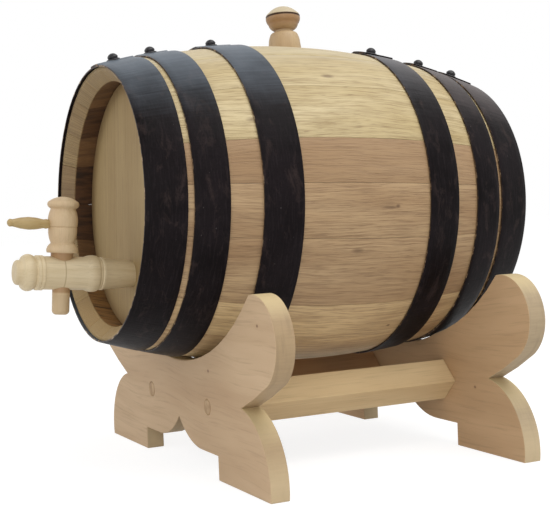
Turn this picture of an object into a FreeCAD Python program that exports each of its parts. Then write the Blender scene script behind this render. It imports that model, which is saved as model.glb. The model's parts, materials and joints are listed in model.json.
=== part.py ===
import FreeCAD, Part
import Sketcher
import math
import os
import re

# Oak cask liquor dispenser: a staved cask in six riveted hoops, a turned wooden tap in its front
# head, a bung on top and a stand of two scalloped boards joined by two rails.
# Millimetres. +Z is up, -Y is the tap side, the origin is on the floor under the middle of the box.
# The cask, tap and bung are drawn about the middle of the cask's axis and then placed.

doc = FreeCAD.newDocument("CaskDispenser")
sheet = doc.addObject("Spreadsheet::Sheet", "Sizes")

# Driving sizes: alias, value, what it is.
drivingSizes = [
    ("caskLength", 260.0, "cask over the stave ends"),
    ("bilgeRadius", 103.3, "wood radius at the middle"),
    ("endRadius", 84.8, "wood radius at the stave ends"),
    ("staveThick", 10.4, "stave thickness"),
    ("caskLean", 2.0, "degrees that the tap end is raised"),
    ("rimWidth", 2.4, "flat rim left at the stave ends"),
    ("bevelLength", 7.0, "length of the inner bevel at the stave ends"),
    ("headRecess", 20.0, "stave ends to a head's outer face"),
    ("headThick", 12.0, "head thickness"),
    ("headMiddleWidth", 58.0, "width of a head's middle board"),
    ("crozeWidth", 4.0, "width of the croze at its bottom"),
    ("crozeDepth", 3.0, "depth of the croze"),
    ("headFit", 0.10, "gap between a head and its croze"),
    ("hoopThick", 1.2, "hoop strip thickness"),
    ("hoopFit", 0.05, "gap between a hoop and the staves"),
    ("lapSweep", 12.0, "degrees of a hoop's riveted lap"),
    ("rivetHeadRadius", 3.3, "rivet head radius"),
    ("rivetHeadHeight", 4.0, "rivet head height"),
    ("rivetShank", 1.5, "rivet shank radius"),
    ("rivetFit", 0.08, "gap round and under a rivet shank"),
    ("tapDrop", 41.9, "tap below the cask axis, at the key"),
    ("tapTilt", 2.4, "degrees that the tap's nose is raised in the head"),
    ("keyOut", 45.2, "front head face to the key axis"),
    ("tapRadius", 10.2, "tap barrel radius"),
    ("tapNose", 29.4, "key axis to the tap's front end"),
    ("tapButton", 7.6, "radius of the button on the tap's end"),
    ("tapBead", 11.2, "radius of the bead behind the button"),
    ("tapCollar", 11.5, "radius of the swelling in front of the taper"),
    ("tapCollarAt", 18.4, "key axis to the middle of the swelling"),
    ("tapTaperAt", 26.4, "key axis to the start of the taper"),
    ("tapTaperRadius", 9.8, "radius at the start of the taper"),
    ("tapHeadRadius", 8.1, "tap radius where it enters the head"),
    ("tapTail", 8.0, "tap length inside the front head"),
    ("tapFit", 0.08, "gap round the tap in the head"),
    ("tapBore", 3.2, "radius of the flow bore"),
    ("keyRadius", 6.15, "key taper radius on the tap axis"),
    ("keyTaper", 0.066, "key radius gained per millimetre of height"),
    ("keyFit", 0.06, "running gap round the key"),
    ("keyTop", 46.8, "tap axis to the key's top"),
    ("keyCapRadius", 9.7, "radius of the key's cap"),
    ("keyNeckRadius", 7.6, "radius of the neck under the cap"),
    ("keyBellyRadius", 8.9, "radius of the key's belly"),
    ("keyWaistRadius", 7.1, "radius of the waist over the collar"),
    ("keyCollarRadius", 9.6, "radius of the collar over the tap"),
    ("keyCollarAt", 12.4, "tap axis to the collar's underside"),
    ("spoutRadius", 5.4, "spout radius"),
    ("spoutDrop", 25.3, "tap axis to the spout's end"),
    ("spoutBore", 2.6, "radius of the outlet in the key"),
    ("portRadius", 2.2, "radius of the port across the key"),
    ("pegAt", 29.8, "tap axis to the peg's axis"),
    ("pegReach", 34.4, "key axis to the peg's end"),
    ("pegShank", 2.6, "peg radius in the key"),
    ("pegBulge", 3.9, "largest peg radius"),
    ("pegSeat", 3.0, "peg length past the key axis"),
    ("pegFit", 0.05, "gap round the peg in the key"),
    ("bungTurn", -7.0, "degrees that the bung stave is turned from the top"),
    ("bungBehind", 6.0, "bung axis behind the cask's middle"),
    ("bungPlug", 9.2, "bung plug radius at the outside of the stave"),
    ("bungTaper", 0.08, "plug radius lost per millimetre of depth"),
    ("bungDepth", 13.0, "plug length below the outside of the stave"),
    ("bungFit", 0.12, "gap round the plug"),
    ("bungSkirt", 11.4, "radius of the bung's skirt"),
    ("bungSkirtHeight", 13.6, "height of the skirt"),
    ("bungNeck", 5.9, "radius of the bung's neck"),
    ("bungRim", 11.7, "radius of the bung's rim"),
    ("bungHeight", 31.6, "height of the bung over the cask"),
    ("bungRest", 0.3, "gap under the skirt"),
    ("axisHeight", 163.5, "cask axis over the floor"),
    ("boardThick", 12.0, "stand board thickness"),
    ("frontBoardIn", 46.0, "stave ends to the front board's front face"),
    ("rearBoardIn", 29.8, "stave ends to the rear board's rear face"),
    ("frontCradleRadius", 160.0, "radius of the front cradle"),
    ("rearCradleRadius", 143.0, "radius of the rear cradle"),
    ("cradleGap", 0.3, "gap between the cask and its cradles"),
    ("frontLobeBite", 3.518433, "overlap of the front cradle's and a lobe's circles"),
    ("rearLobeBite", 4.633044, "overlap of the rear cradle's and a lobe's circles"),
    ("lobeDrop", 75.8, "cask axis to a lobe's centre"),
    ("lobeRadius", 26.8, "lobe radius"),
    ("lobeStart", 33.0, "degrees below level where the lobe starts"),
    ("lobeBow", 2.6, "bow of the curve from the notch to the lobe"),
    ("notchAcross", 96.8, "middle to the side notch"),
    ("notchHeight", 48.2, "side notch over the floor"),
    ("footOuter", 131.2, "middle to a foot's outer corner"),
    ("footInner", 60.6, "middle to a foot's inner corner"),
    ("legRadius", 42.5, "radius of a leg's outer side"),
    ("archHeight", 14.7, "arch over the floor beside the feet"),
    ("scallopAcross", 36.0, "middle to the start of the scallop"),
    ("cuspHeight", 30.7, "scallop's cusp over the floor"),
    ("railSide", 19.0, "side of a square rail"),
    ("railAcross", 47.5, "middle to a rail's axis"),
    ("railHeight", 42.6, "rail axis over the floor"),
    ("dowelRadius", 4.8, "dowel radius"),
    ("dowelDepth", 22.0, "dowel length inside a rail"),
    ("dowelFit", 0.05, "gap round a dowel"),
]

# Stave widths in degrees, from the bung stave round by +X. They are shared out over the
# full circle, so the staves always close up.
staveWidths = [21.0, 22.5, 21.0, 21.5, 15.5, 18.5, 25.0, 18.0, 17.5, 17.0,
               18.0, 21.0, 19.0, 15.0, 18.0, 19.0, 16.0, 19.5, 17.0]

# Hoops: name, the nearer stave ends to the hoop's middle, strip width, turn of its rivet from
# the top.
hoopSizes = [
    ("front_chime", 9.8, 23.6, 0.0),
    ("front_quarter", 35.4, 20.4, -2.0),
    ("front_bilge", 77.4, 24.6, -2.0),
    ("rear_bilge", 71.8, 22.6, 7.0),
    ("rear_quarter", 34.7, 19.6, 8.0),
    ("rear_chime", 10.6, 23.6, 11.0),
]

# Sizes that follow from the driving ones.
derivedSizes = [
    ("halfLength", "caskLength / 2"),
    ("endSag", "bilgeRadius - endRadius"),
    ("arcRadius", "(halfLength ^ 2 + endSag ^ 2) / (2 * endSag)"),
    ("arcDrop", "arcRadius - bilgeRadius"),
    ("innerArc", "arcRadius - staveThick"),
    ("bevelAt", "halfLength - bevelLength"),
    ("headFaceAt", "halfLength - headRecess"),
    ("tongueAt", "headFaceAt - headThick / 2"),
    ("mouthHalf", "(crozeWidth + crozeDepth) / 2"),
    ("crozeRadius", "sqrt(innerArc ^ 2 - tongueAt ^ 2) - arcDrop + crozeDepth"),
    ("keyAt", "headFaceAt + keyOut"),
    ("bungHeightAt", "sqrt(arcRadius ^ 2 - bungBehind ^ 2) - arcDrop"),
    ("frontBoardAt", "halfLength - frontBoardIn"),
    ("rearBoardAt", "halfLength - rearBoardIn"),
    ("frontSeatAt", "boardThick - frontBoardAt"),
    ("rearSeatAt", "rearBoardAt - boardThick"),
    ("frontSeatCask", "(frontSeatAt + (sqrt(arcRadius ^ 2 - frontSeatAt ^ 2) - arcDrop)"
                      " * sin(caskLean)) / cos(caskLean)"),
    ("rearSeatCask", "(rearSeatAt + (sqrt(arcRadius ^ 2 - rearSeatAt ^ 2) - arcDrop)"
                     " * sin(caskLean)) / cos(caskLean)"),
    ("frontCradle", "(sqrt(arcRadius ^ 2 - frontSeatCask ^ 2) - arcDrop) / cos(caskLean)"
                    " + frontSeatAt * tan(caskLean) + cradleGap"),
    ("rearCradle", "(sqrt(arcRadius ^ 2 - rearSeatCask ^ 2) - arcDrop + hoopThick + hoopFit)"
                   " / cos(caskLean) + rearSeatAt * tan(caskLean) + cradleGap"),
    ("frontLobe", "sqrt((frontCradleRadius + lobeRadius - frontLobeBite) ^ 2"
                  " - (lobeDrop + frontCradleRadius - frontCradle) ^ 2)"),
    ("rearLobe", "sqrt((rearCradleRadius + lobeRadius - rearLobeBite) ^ 2"
                 " - (lobeDrop + rearCradleRadius - rearCradle) ^ 2)"),
    ("railLength", "rearSeatAt - frontSeatAt"),
    ("scallopRadius", "(scallopAcross ^ 2 + (cuspHeight - archHeight) ^ 2)"
                      " / (2 * (cuspHeight - archHeight))"),
]

aliases = set()


def putCell(row, alias, content, note):
    sheet.set("A%d" % row, alias)
    sheet.set("B%d" % row, content)
    sheet.setAlias("B%d" % row, alias)
    sheet.set("C%d" % row, note)
    aliases.add(alias)


def fillSheet():
    row = 1
    for alias, value, note in drivingSizes:
        putCell(row, alias, str(value), note)
        row += 1
    for index, width in enumerate(staveWidths, start=1):
        putCell(row, "staveWidth%02dof" % index, str(width), "width share of stave %d" % index)
        row += 1
    for name, inset, width, turn in hoopSizes:
        label = name.replace("_", "")
        putCell(row, label + "In", str(inset), name + " hoop, from the stave ends")
        putCell(row + 1, label + "Strip", str(width), name + " hoop, strip width")
        putCell(row + 2, label + "Turn", str(turn), name + " hoop, turn of its lap")
        row += 3
    for alias, formula in derivedSizes:
        putCell(row, alias, "=" + formula, "follows")
        row += 1
    for name, inset, width, turn in hoopSizes:
        label = name.replace("_", "")
        side = "-1" if name.startswith("front") else "1"
        putCell(row, label + "At", "=%s * (halfLength - %sIn)" % (side, label), "follows")
        row += 1
    total = " + ".join("staveWidth%02dof" % index for index in range(1, len(staveWidths) + 1))
    putCell(row, "staveTotal", "=" + total, "follows")
    doc.recompute()


def sized(expression):
    # Names of sheet cells become references to the sheet.
    return re.sub(r"[A-Za-z_]\w*",
                  lambda found: "Sizes." + found.group() if found.group() in aliases
                  else found.group(), str(expression))


def number(expression):
    # Worth of an expression in millimetres or degrees.
    worth = sheet.evalExpression(str(expression))
    return float(getattr(worth, "Value", worth))


def bind(thing, path, expression):
    thing.setExpression(path, sized(expression))


def capRadius(across, rise):
    # Radius of the ball whose cap is that wide (half width) and that high.
    return "(((%s) ^ 2 + (%s) ^ 2) / (2 * (%s)))" % (across, rise, rise)


def woodRadius(at):
    return "(sqrt(arcRadius ^ 2 - (%s) ^ 2) - arcDrop)" % at


def innerWallRadius(at):
    return "(sqrt(innerArc ^ 2 - (%s) ^ 2) - arcDrop)" % at


def newBody(label):
    body = doc.addObject("PartDesign::Body", label)
    body.Label = label
    return body


def newSketch(body, plane, name, shift=None):
    # A sketch on one of the body's own planes, moved within it by (across, up) where it says so.
    sketch = body.newObject("Sketcher::SketchObject", body.Label + "_" + name)
    for feature in body.Origin.OriginFeatures:
        if feature.Role == plane:
            sketch.AttachmentSupport = [(feature, "")]
    sketch.MapMode = "FlatFace"
    if shift:
        bind(sketch, "AttachmentOffset.Base.x", shift[0])
        bind(sketch, "AttachmentOffset.Base.y", shift[1])
    return sketch


def arcThrough(start, end, radius, side):
    # Circle through start and end; side 1 bulges to the left of the way from start to end.
    chord = end - start
    half = chord.Length / 2
    rise = math.sqrt(max(radius ** 2 - half ** 2, 0.0))
    normal = FreeCAD.Vector(-chord.y, chord.x, 0).normalize()
    centre = start + chord * 0.5 - normal * rise * side
    circle = Part.Circle(centre, FreeCAD.Vector(0, 0, 1), radius)
    angles = [math.atan2(p.y - centre.y, p.x - centre.x) for p in (start, end)]
    if side > 0:
        angles.reverse()
    return Part.ArcOfCircle(circle, angles[0], angles[1])


def arcRadiusOf(steps, index):
    # A step's arc is given by its "radius" or by its "bow", the rise over its chord.
    x, y, kind, amount, side = steps[index]
    if kind == "radius":
        return amount
    chord = "((%s) - (%s)) ^ 2 + ((%s) - (%s)) ^ 2" % (x, steps[index - 1][0],
                                                     y, steps[index - 1][1])
    return "((%s + 4 * (%s) ^ 2) / (8 * (%s)))" % (chord, amount, amount)


def drawOutline(sketch, steps):
    # A closed outline. Each step is a corner (x, y), reached by a line, or
    # (x, y, "radius" or "bow", amount, side), reached by an arc. Every corner and radius is held
    # by a constraint bound to the sheet.
    corners = [FreeCAD.Vector(number(step[0]), number(step[1]), 0) for step in steps]
    count = len(steps)
    pieces = []
    for index in range(count):
        start = corners[index - 1]
        step = steps[index]
        if len(step) == 5:
            radius = number(arcRadiusOf(steps, index))
            pieces.append(arcThrough(start, corners[index], radius, step[4]))
        else:
            pieces.append(Part.LineSegment(start, corners[index]))
    sketch.addGeometry(pieces, False)

    def ends(index):
        # Point numbers of a piece's first and last corner.
        if len(steps[index]) == 5 and steps[index][4] > 0:
            return 2, 1
        return 1, 2

    for index in range(count):
        following = (index + 1) % count
        sketch.addConstraint(Sketcher.Constraint(
            "Coincident", index, ends(index)[1], following, ends(following)[0]))
    for index in range(count):
        for kind, axis in (("DistanceX", 0), ("DistanceY", 1)):
            held = sketch.addConstraint(Sketcher.Constraint(
                kind, -1, 1, index, ends(index)[1], corners[index][axis]))
            bind(sketch, "Constraints[%d]" % held, steps[index][axis])
        if len(steps[index]) == 5:
            radius = arcRadiusOf(steps, index)
            held = sketch.addConstraint(Sketcher.Constraint("Radius", index, number(radius)))
            bind(sketch, "Constraints[%d]" % held, radius)


def drawCircle(sketch, radius):
    sketch.addGeometry(Part.Circle(FreeCAD.Vector(0, 0, 0), FreeCAD.Vector(0, 0, 1),
                                   number(radius)), False)
    sketch.addConstraint(Sketcher.Constraint("Coincident", 0, 3, -1, 1))
    held = sketch.addConstraint(Sketcher.Constraint("Radius", 0, number(radius)))
    bind(sketch, "Constraints[%d]" % held, radius)


def turned(body, plane, name, steps, axis, angle="360", shift=None):
    # Turns an outline about the sketch's own level or upright axis.
    sketch = newSketch(body, plane, name, shift)
    drawOutline(sketch, steps)
    feature = body.newObject("PartDesign::Revolution", body.Label + "_" + name + "_turned")
    feature.Profile = sketch
    feature.ReferenceAxis = (sketch, [axis])
    bind(feature, "Angle", angle)
    feature.Midplane = True
    return feature


def hollowed(body, plane, name, steps, axis, shift=None, tilt=None):
    sketch = newSketch(body, plane, name, shift)
    if tilt:
        sketch.AttachmentOffset = FreeCAD.Placement(
            sketch.AttachmentOffset.Base, FreeCAD.Rotation(FreeCAD.Vector(0, 0, 1), 1.0))
        bind(sketch, "AttachmentOffset.Rotation.Angle", tilt)
    drawOutline(sketch, steps)
    feature = body.newObject("PartDesign::Groove", body.Label + "_" + name + "_hollow")
    feature.Profile = sketch
    feature.ReferenceAxis = (sketch, [axis])
    feature.Angle = 360
    return feature


def caskPlacement():
    lean = number("caskLean")
    return FreeCAD.Placement(FreeCAD.Vector(0, caskShift(), number("axisHeight")),
                             FreeCAD.Rotation(FreeCAD.Vector(1, 0, 0), -lean))


def caskShift():
    # Moves the cask along Y so that the whole object's box is centred over the origin.
    lean = math.radians(number("caskLean"))
    tilt = math.radians(number("tapTilt"))
    reach, high = number("pegReach"), number("pegAt")
    along = -number("keyAt") - reach * math.cos(tilt) + high * math.sin(tilt)
    up = -number("tapDrop") + reach * math.sin(tilt) + high * math.cos(tilt)
    peg = along * math.cos(lean) + up * math.sin(lean)
    last, radius = hoopEdge("rearchimeAt", "rearchimeStrip", "1")
    rim = number(last) * math.cos(lean) + number(radius + " + hoopThick") * math.sin(lean)
    return -(peg + rim) / 2


def turnAbout(axis, angle):
    return FreeCAD.Placement(FreeCAD.Vector(0, 0, 0), FreeCAD.Rotation(axis, angle))


yAxis = FreeCAD.Vector(0, 1, 0)
xAxis = FreeCAD.Vector(1, 0, 0)


# Cask

def staveOutline():
    # Section of a stave along the cask: arched outside and inside, a bevelled chime and a croze
    # for the head at each end.
    mouthOut = "(tongueAt + mouthHalf)"
    mouthIn = "(tongueAt - mouthHalf)"
    grooveOut = "(tongueAt + crozeWidth / 2)"
    grooveIn = "(tongueAt - crozeWidth / 2)"
    return [
        ("-halfLength", "endRadius"),
        ("halfLength", "endRadius", "radius", "arcRadius", 1),
        ("halfLength", "endRadius - rimWidth"),
        ("bevelAt", innerWallRadius("bevelAt")),
        (mouthOut, innerWallRadius(mouthOut), "radius", "innerArc", -1),
        (grooveOut, "crozeRadius"),
        (grooveIn, "crozeRadius"),
        (mouthIn, innerWallRadius(mouthIn)),
        ("-" + mouthIn, innerWallRadius(mouthIn), "radius", "innerArc", -1),
        ("-" + grooveIn, "crozeRadius"),
        ("-" + grooveOut, "crozeRadius"),
        ("-" + mouthOut, innerWallRadius(mouthOut)),
        ("-bevelAt", innerWallRadius("bevelAt"), "radius", "innerArc", -1),
        ("-halfLength", "endRadius - rimWidth"),
    ]


def makeStave(index):
    body = newBody("stave_%02d" % index)
    share = "360 * staveWidth%02dof / staveTotal" % index
    turned(body, "YZ_Plane", "section", staveOutline(), "H_Axis", share)
    if index == 1:
        makeBungHole(body)
    before = sum(number("staveWidth%02dof" % other) for other in range(2, index))
    middle = 0.0
    if index > 1:
        middle = before + (number("staveWidth01of") + number("staveWidth%02dof" % index)) / 2
    turn = 360 * middle / number("staveTotal") + number("bungTurn")
    body.Placement = caskPlacement().multiply(turnAbout(yAxis, turn))
    return body


def bungRadius(below):
    return "(bungPlug - bungTaper * (%s))" % below


def makeBungHole(body):
    # A tapered hole that the bung's plug follows.
    below = "(staveThick + 4)"
    hollowed(body, "XZ_Plane", "bunghole", [
        ("0", "bungHeightAt - " + below),
        (bungRadius(below) + " + bungFit", "bungHeightAt - " + below),
        (bungRadius("-2") + " + bungFit", "bungHeightAt + 2"),
        ("0", "bungHeightAt + 2"),
    ], "V_Axis", None)
    sketch = doc.getObject(body.Label + "_bunghole")
    bind(sketch, "AttachmentOffset.Base.z", "-bungBehind")


def headOutline():
    # Half section of a head about the cask axis, outer face towards +Y, with its tongue.
    mouthOut = "(tongueAt + mouthHalf)"
    mouthIn = "(tongueAt - mouthHalf)"
    inside = "(headFaceAt - headThick)"
    return [
        ("headFaceAt", "0"),
        ("headFaceAt", innerWallRadius("headFaceAt") + " - headFit"),
        (mouthOut, innerWallRadius(mouthOut) + " - headFit"),
        ("tongueAt + crozeWidth / 2", "crozeRadius - headFit"),
        ("tongueAt - crozeWidth / 2", "crozeRadius - headFit"),
        (mouthIn, innerWallRadius(mouthOut) + " - headFit"),
        (inside, innerWallRadius("headFaceAt") + " - headFit"),
        (inside, "0"),
    ]


def cutStrip(body, name, left, right):
    sketch = newSketch(body, "XZ_Plane", name)
    drawOutline(sketch, [(left, "-caskLength"), (right, "-caskLength"),
                         (right, "caskLength"), (left, "caskLength")])
    feature = body.newObject("PartDesign::Pocket", body.Label + "_" + name + "_cut")
    feature.Profile = sketch
    feature.Midplane = True
    bind(feature, "Length", "3 * caskLength")


def makeHeadBoard(end, place):
    # A head is three upright boards; the front one's middle board carries the tap.
    body = newBody("%s_head_%s" % (end, place))
    turned(body, "YZ_Plane", "section", headOutline(), "H_Axis")
    if place != "left":
        edge = "-headMiddleWidth / 2" if place == "middle" else "headMiddleWidth / 2"
        cutStrip(body, "trim_low", "-caskLength", edge)
    if place != "right":
        edge = "headMiddleWidth / 2" if place == "middle" else "-headMiddleWidth / 2"
        cutStrip(body, "trim_high", edge, "caskLength")
    if end == "front" and place == "middle":
        makeTapHole(body)
    turn = 180 if end == "front" else 0
    body.Placement = caskPlacement().multiply(turnAbout(FreeCAD.Vector(0, 0, 1), turn))
    return body


def tapTaperAtDistance(distance):
    # Tap radius on the taper, at a distance from the key axis.
    slope = "(tapTaperRadius - tapHeadRadius) / (keyOut - tapTaperAt)"
    return "(tapHeadRadius - %s * ((%s) - keyOut))" % (slope, distance)


def makeTapHole(body):
    # A tapered hole in the frame of the turned head, where +Y points out of the cask. It is
    # drawn from the key's axis, on the tilted axis of the tap.
    out = "(keyOut - 3)"
    inside = "(keyOut + headThick + 3)"
    hollowed(body, "YZ_Plane", "taphole", [
        ("-" + out, "0"),
        ("-" + out, tapTaperAtDistance(out) + " + tapFit"),
        ("-" + inside, tapTaperAtDistance(inside) + " + tapFit"),
        ("-" + inside, "0"),
    ], "H_Axis", ("keyAt", "-tapDrop"), "tapTilt")


# Hoops and rivets

def hoopNumbers(name):
    label = name.replace("_", "")
    return label + "At", label + "Strip", label + "Turn"


def hoopEdge(at, strip, side):
    # Where a hoop's edge lies along the cask, and its inner radius there: the straight strip
    # meets the arched staves at its middle.
    where = "(%s + %s * %s / 2)" % (at, side, strip)
    return where, "(%s + %s ^ 2 / (8 * arcRadius) + hoopFit)" % (woodRadius(where), strip)


def makeHoop(name):
    at, strip, turn = hoopNumbers(name)
    body = newBody("hoop_" + name)
    first, firstRadius = hoopEdge(at, strip, "-1")
    last, lastRadius = hoopEdge(at, strip, "1")

    def band(low, high):
        return [(first, firstRadius + low), (last, lastRadius + low),
                (last, lastRadius + high), (first, firstRadius + high)]

    turned(body, "YZ_Plane", "strip", band("", " + hoopThick"), "H_Axis")
    turned(body, "YZ_Plane", "lap", band(" + hoopThick", " + 2 * hoopThick"), "H_Axis",
           "lapSweep")
    sketch = newSketch(body, "XY_Plane", "rivet_hole")
    sketch.AttachmentOffset = FreeCAD.Placement(FreeCAD.Vector(0, 0, 0),
                                                FreeCAD.Rotation(xAxis, 1.0))
    bind(sketch, "AttachmentOffset.Base.y", at)
    bind(sketch, "AttachmentOffset.Base.z",
         "(%s + %s) / 2 + 2 * hoopThick" % (firstRadius, lastRadius))
    bind(sketch, "AttachmentOffset.Rotation.Angle",
         "atan((%s - %s) / %s)" % (lastRadius, firstRadius, strip))
    drawCircle(sketch, "rivetShank + rivetFit")
    hole = body.newObject("PartDesign::Pocket", body.Label + "_hole")
    hole.Profile = sketch
    hole.Midplane = True
    bind(hole, "Length", "8 * hoopThick")
    body.Placement = caskPlacement().multiply(turnAbout(yAxis, number(turn)))
    return body


def makeRivet(name):
    # A round-headed rivet, square to its hoop, with its origin on the lap's outer face.
    at, strip, turn = hoopNumbers(name)
    body = newBody("rivet_" + name)
    turned(body, "XZ_Plane", "section", [
        ("0", "rivetFit - 2 * hoopThick"),
        ("rivetShank", "rivetFit - 2 * hoopThick"),
        ("rivetShank", "0"),
        ("rivetHeadRadius", "0"),
        ("rivetHeadRadius * 0.94", "rivetHeadHeight * 0.42"),
        ("0", "rivetHeadHeight", "radius",
         capRadius("rivetHeadRadius * 0.94", "rivetHeadHeight * 0.58"), -1),
    ], "V_Axis")
    first, firstRadius = hoopEdge(at, strip, "-1")
    last, lastRadius = hoopEdge(at, strip, "1")
    radius = number("(%s + %s) / 2 + 2 * hoopThick" % (firstRadius, lastRadius))
    slope = number("atan((%s - %s) / %s)" % (lastRadius, firstRadius, strip))
    seat = FreeCAD.Placement(FreeCAD.Vector(0, number(at), radius),
                             FreeCAD.Rotation(xAxis, slope))
    body.Placement = caskPlacement().multiply(turnAbout(yAxis, number(turn))).multiply(seat)
    return body


# Tap, key, peg and bung

def tapPlacement():
    local = FreeCAD.Placement(FreeCAD.Vector(0, -number("keyAt"), -number("tapDrop")),
                              FreeCAD.Rotation(xAxis, -number("tapTilt")))
    return caskPlacement().multiply(local)


def keyRadiusAt(height):
    return "(keyRadius + keyTaper * (%s))" % height


def makeTapBody():
    # Turned barrel: button, bead, ring, plain barrel, swelling, two scored lines and the taper
    # that is driven into the head.
    body = newBody("tap_body")
    tail = "(keyOut + headThick + tapTail)"
    turned(body, "YZ_Plane", "profile", [
        ("-tapNose", "0"),
        ("-tapNose", "tapButton - 3.4"),
        ("-tapNose + 3.0", "tapButton", "bow", "0.9", 1),
        ("-tapNose + 4.2", "tapButton"),
        ("-tapNose + 6.4", "tapBead - 1.4", "bow", "0.5", -1),
        ("-tapNose + 11.6", "tapBead - 1.2", "bow", "1.3", 1),
        ("-tapNose + 12.2", "tapRadius - 0.6"),
        ("-tapNose + 13.0", "tapRadius + 0.5"),
        ("-tapNose + 17.0", "tapRadius + 0.5"),
        ("-tapNose + 17.5", "tapRadius"),
        ("tapCollarAt - 4.6", "tapRadius"),
        ("tapCollarAt + 3.2", "tapCollar - 0.5", "bow", "0.75", 1),
        ("tapCollarAt + 3.8", "tapTaperRadius + 0.4"),
        ("tapTaperAt - 2.8", "tapTaperRadius + 0.4"),
        ("tapTaperAt - 2.4", "tapTaperRadius"),
        ("tapTaperAt - 2.0", "tapTaperRadius + 0.4"),
        ("tapTaperAt - 0.8", "tapTaperRadius + 0.4"),
        ("tapTaperAt", "tapTaperRadius"),
        (tail, tapTaperAtDistance(tail)),
        (tail, "0"),
    ], "H_Axis")
    hollowed(body, "YZ_Plane", "flow", [
        ("0", "0"), ("0", "tapBore"), (tail + " + 1", "tapBore"), (tail + " + 1", "0"),
    ], "H_Axis")
    low = "-(tapRadius + 2)"
    high = "(tapRadius + 2)"
    hollowed(body, "YZ_Plane", "keyseat", [
        ("0", low),
        (keyRadiusAt(low) + " + keyFit", low),
        (keyRadiusAt(high) + " + keyFit", high),
        ("0", high),
    ], "V_Axis")
    body.Placement = tapPlacement()
    return body


def makeTapKey():
    # Turned key: cap, neck, belly, waist and collar over the tapered plug, and the spout below.
    # The outlet comes up the spout and turns into a port that a quarter turn sets to the bore.
    body = newBody("tap_key")
    plugTop = "keyCollarAt"
    plugEnd = "-(tapRadius + 0.4)"
    turned(body, "XZ_Plane", "profile", [
        ("0", "-spoutDrop"),
        ("spoutRadius - 1.8", "-spoutDrop"),
        ("spoutRadius - 0.1", "3.0 - spoutDrop", "bow", "0.6", -1),
        ("spoutRadius", plugEnd + " - 0.6"),
        (keyRadiusAt(plugEnd), plugEnd),
        (keyRadiusAt(plugTop), plugTop),
        ("keyCollarRadius - 0.4", plugTop),
        ("keyCollarRadius", "keyCollarAt + 1.0"),
        ("keyCollarRadius", "keyCollarAt + 1.9"),
        ("keyWaistRadius + 0.8", "keyCollarAt + 5.1", "bow", "0.35", -1),
        ("keyWaistRadius", "keyCollarAt + 5.9"),
        ("keyBellyRadius - 0.1", "pegAt - 2.0", "bow", "0.6", -1),
        ("keyBellyRadius - 0.5", "pegAt - 1.6"),
        ("keyBellyRadius", "pegAt - 1.2"),
        ("keyNeckRadius", "keyTop - 7.6", "bow", "0.8", -1),
        ("keyCapRadius - 1.0", "keyTop - 6.8"),
        ("keyCapRadius - 1.0", "keyTop - 2.9", "bow", "1.0", -1),
        ("0", "keyTop", "radius", capRadius("keyCapRadius - 1.0", "2.9"), -1),
    ], "V_Axis")
    hollowed(body, "XZ_Plane", "outlet", [
        ("0", "-spoutDrop - 1"),
        ("spoutBore", "-spoutDrop - 1"),
        ("spoutBore", "portRadius + 0.8"),
        ("0", "portRadius + 0.8"),
    ], "V_Axis")
    hollowed(body, "XZ_Plane", "port", [
        ("0", "0"),
        ("0", "portRadius"),
        ("tapRadius", "portRadius"),
        ("tapRadius", "0"),
    ], "H_Axis")
    hollowed(body, "YZ_Plane", "peghole", [
        ("pegSeat", "0"), ("pegSeat", "pegShank + pegFit"),
        ("-tapRadius - 2", "pegShank + pegFit"), ("-tapRadius - 2", "0"),
    ], "H_Axis", ("0", "pegAt"))
    body.Placement = tapPlacement()
    return body


def makeTapPeg():
    # Turned handle peg: a plain shank in the key, then a slim bulge and a small rounded end.
    body = newBody("tap_peg")
    root = "-(keyBellyRadius + 0.3)"
    bulgeAt = "-(pegReach * 0.62)"
    turned(body, "YZ_Plane", "profile", [
        ("pegSeat - 0.2", "0"),
        ("-pegReach", "0"),
        ("-pegReach + 1.6", "pegShank - 0.2", "radius", capRadius("pegShank - 0.2", "1.6"), 1),
        ("-pegReach + 3.2", "pegShank - 0.4"),
        (bulgeAt, "pegBulge", "bow", "0.3", 1),
        (root + " - 3.0", "pegShank + 0.1", "bow", "0.3", 1),
        (root + " - 1.2", "pegShank + 0.4"),
        (root, "pegShank"),
        ("pegSeat - 0.2", "pegShank"),
    ], "H_Axis")
    local = FreeCAD.Placement(FreeCAD.Vector(0, 0, number("pegAt")), FreeCAD.Rotation())
    body.Placement = tapPlacement().multiply(local)
    return body


def makeBung():
    # Turned bung: tapered plug, skirt, neck, bowl with a scored rim and a domed top. Its origin
    # is where its axis meets the outside of the bung stave.
    body = newBody("bung")
    turned(body, "XZ_Plane", "profile", [
        ("0", "-bungDepth"),
        (bungRadius("bungDepth") + " - 0.8", "-bungDepth"),
        (bungRadius("bungDepth - 0.8"), "0.8 - bungDepth"),
        (bungRadius("-bungRest"), "bungRest"),
        ("bungSkirt", "bungRest"),
        ("bungSkirt - 0.5", "bungSkirtHeight * 0.45"),
        ("bungSkirt - 2.2", "bungSkirtHeight - 1.2", "bow", "0.35", -1),
        ("bungNeck", "bungSkirtHeight + 1.3", "bow", "0.75", -1),
        ("bungRim - 1.6", "bungHeight - 12.0", "bow", "0.9", -1),
        ("bungRim - 0.1", "bungHeight - 7.6", "bow", "0.5", -1),
        ("bungRim - 0.7", "bungHeight - 7.2"),
        ("bungRim - 0.1", "bungHeight - 6.8"),
        ("bungRim - 1.7", "bungHeight - 4.6", "bow", "0.3", -1),
        ("0", "bungHeight", "radius", capRadius("bungRim - 1.7", "4.6"), -1),
    ], "V_Axis")
    local = FreeCAD.Placement(FreeCAD.Vector(0, number("bungBehind"), number("bungHeightAt")),
                              FreeCAD.Rotation())
    turn = turnAbout(yAxis, number("bungTurn"))
    body.Placement = caskPlacement().multiply(turn).multiply(local)
    return body


# Stand

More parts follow.
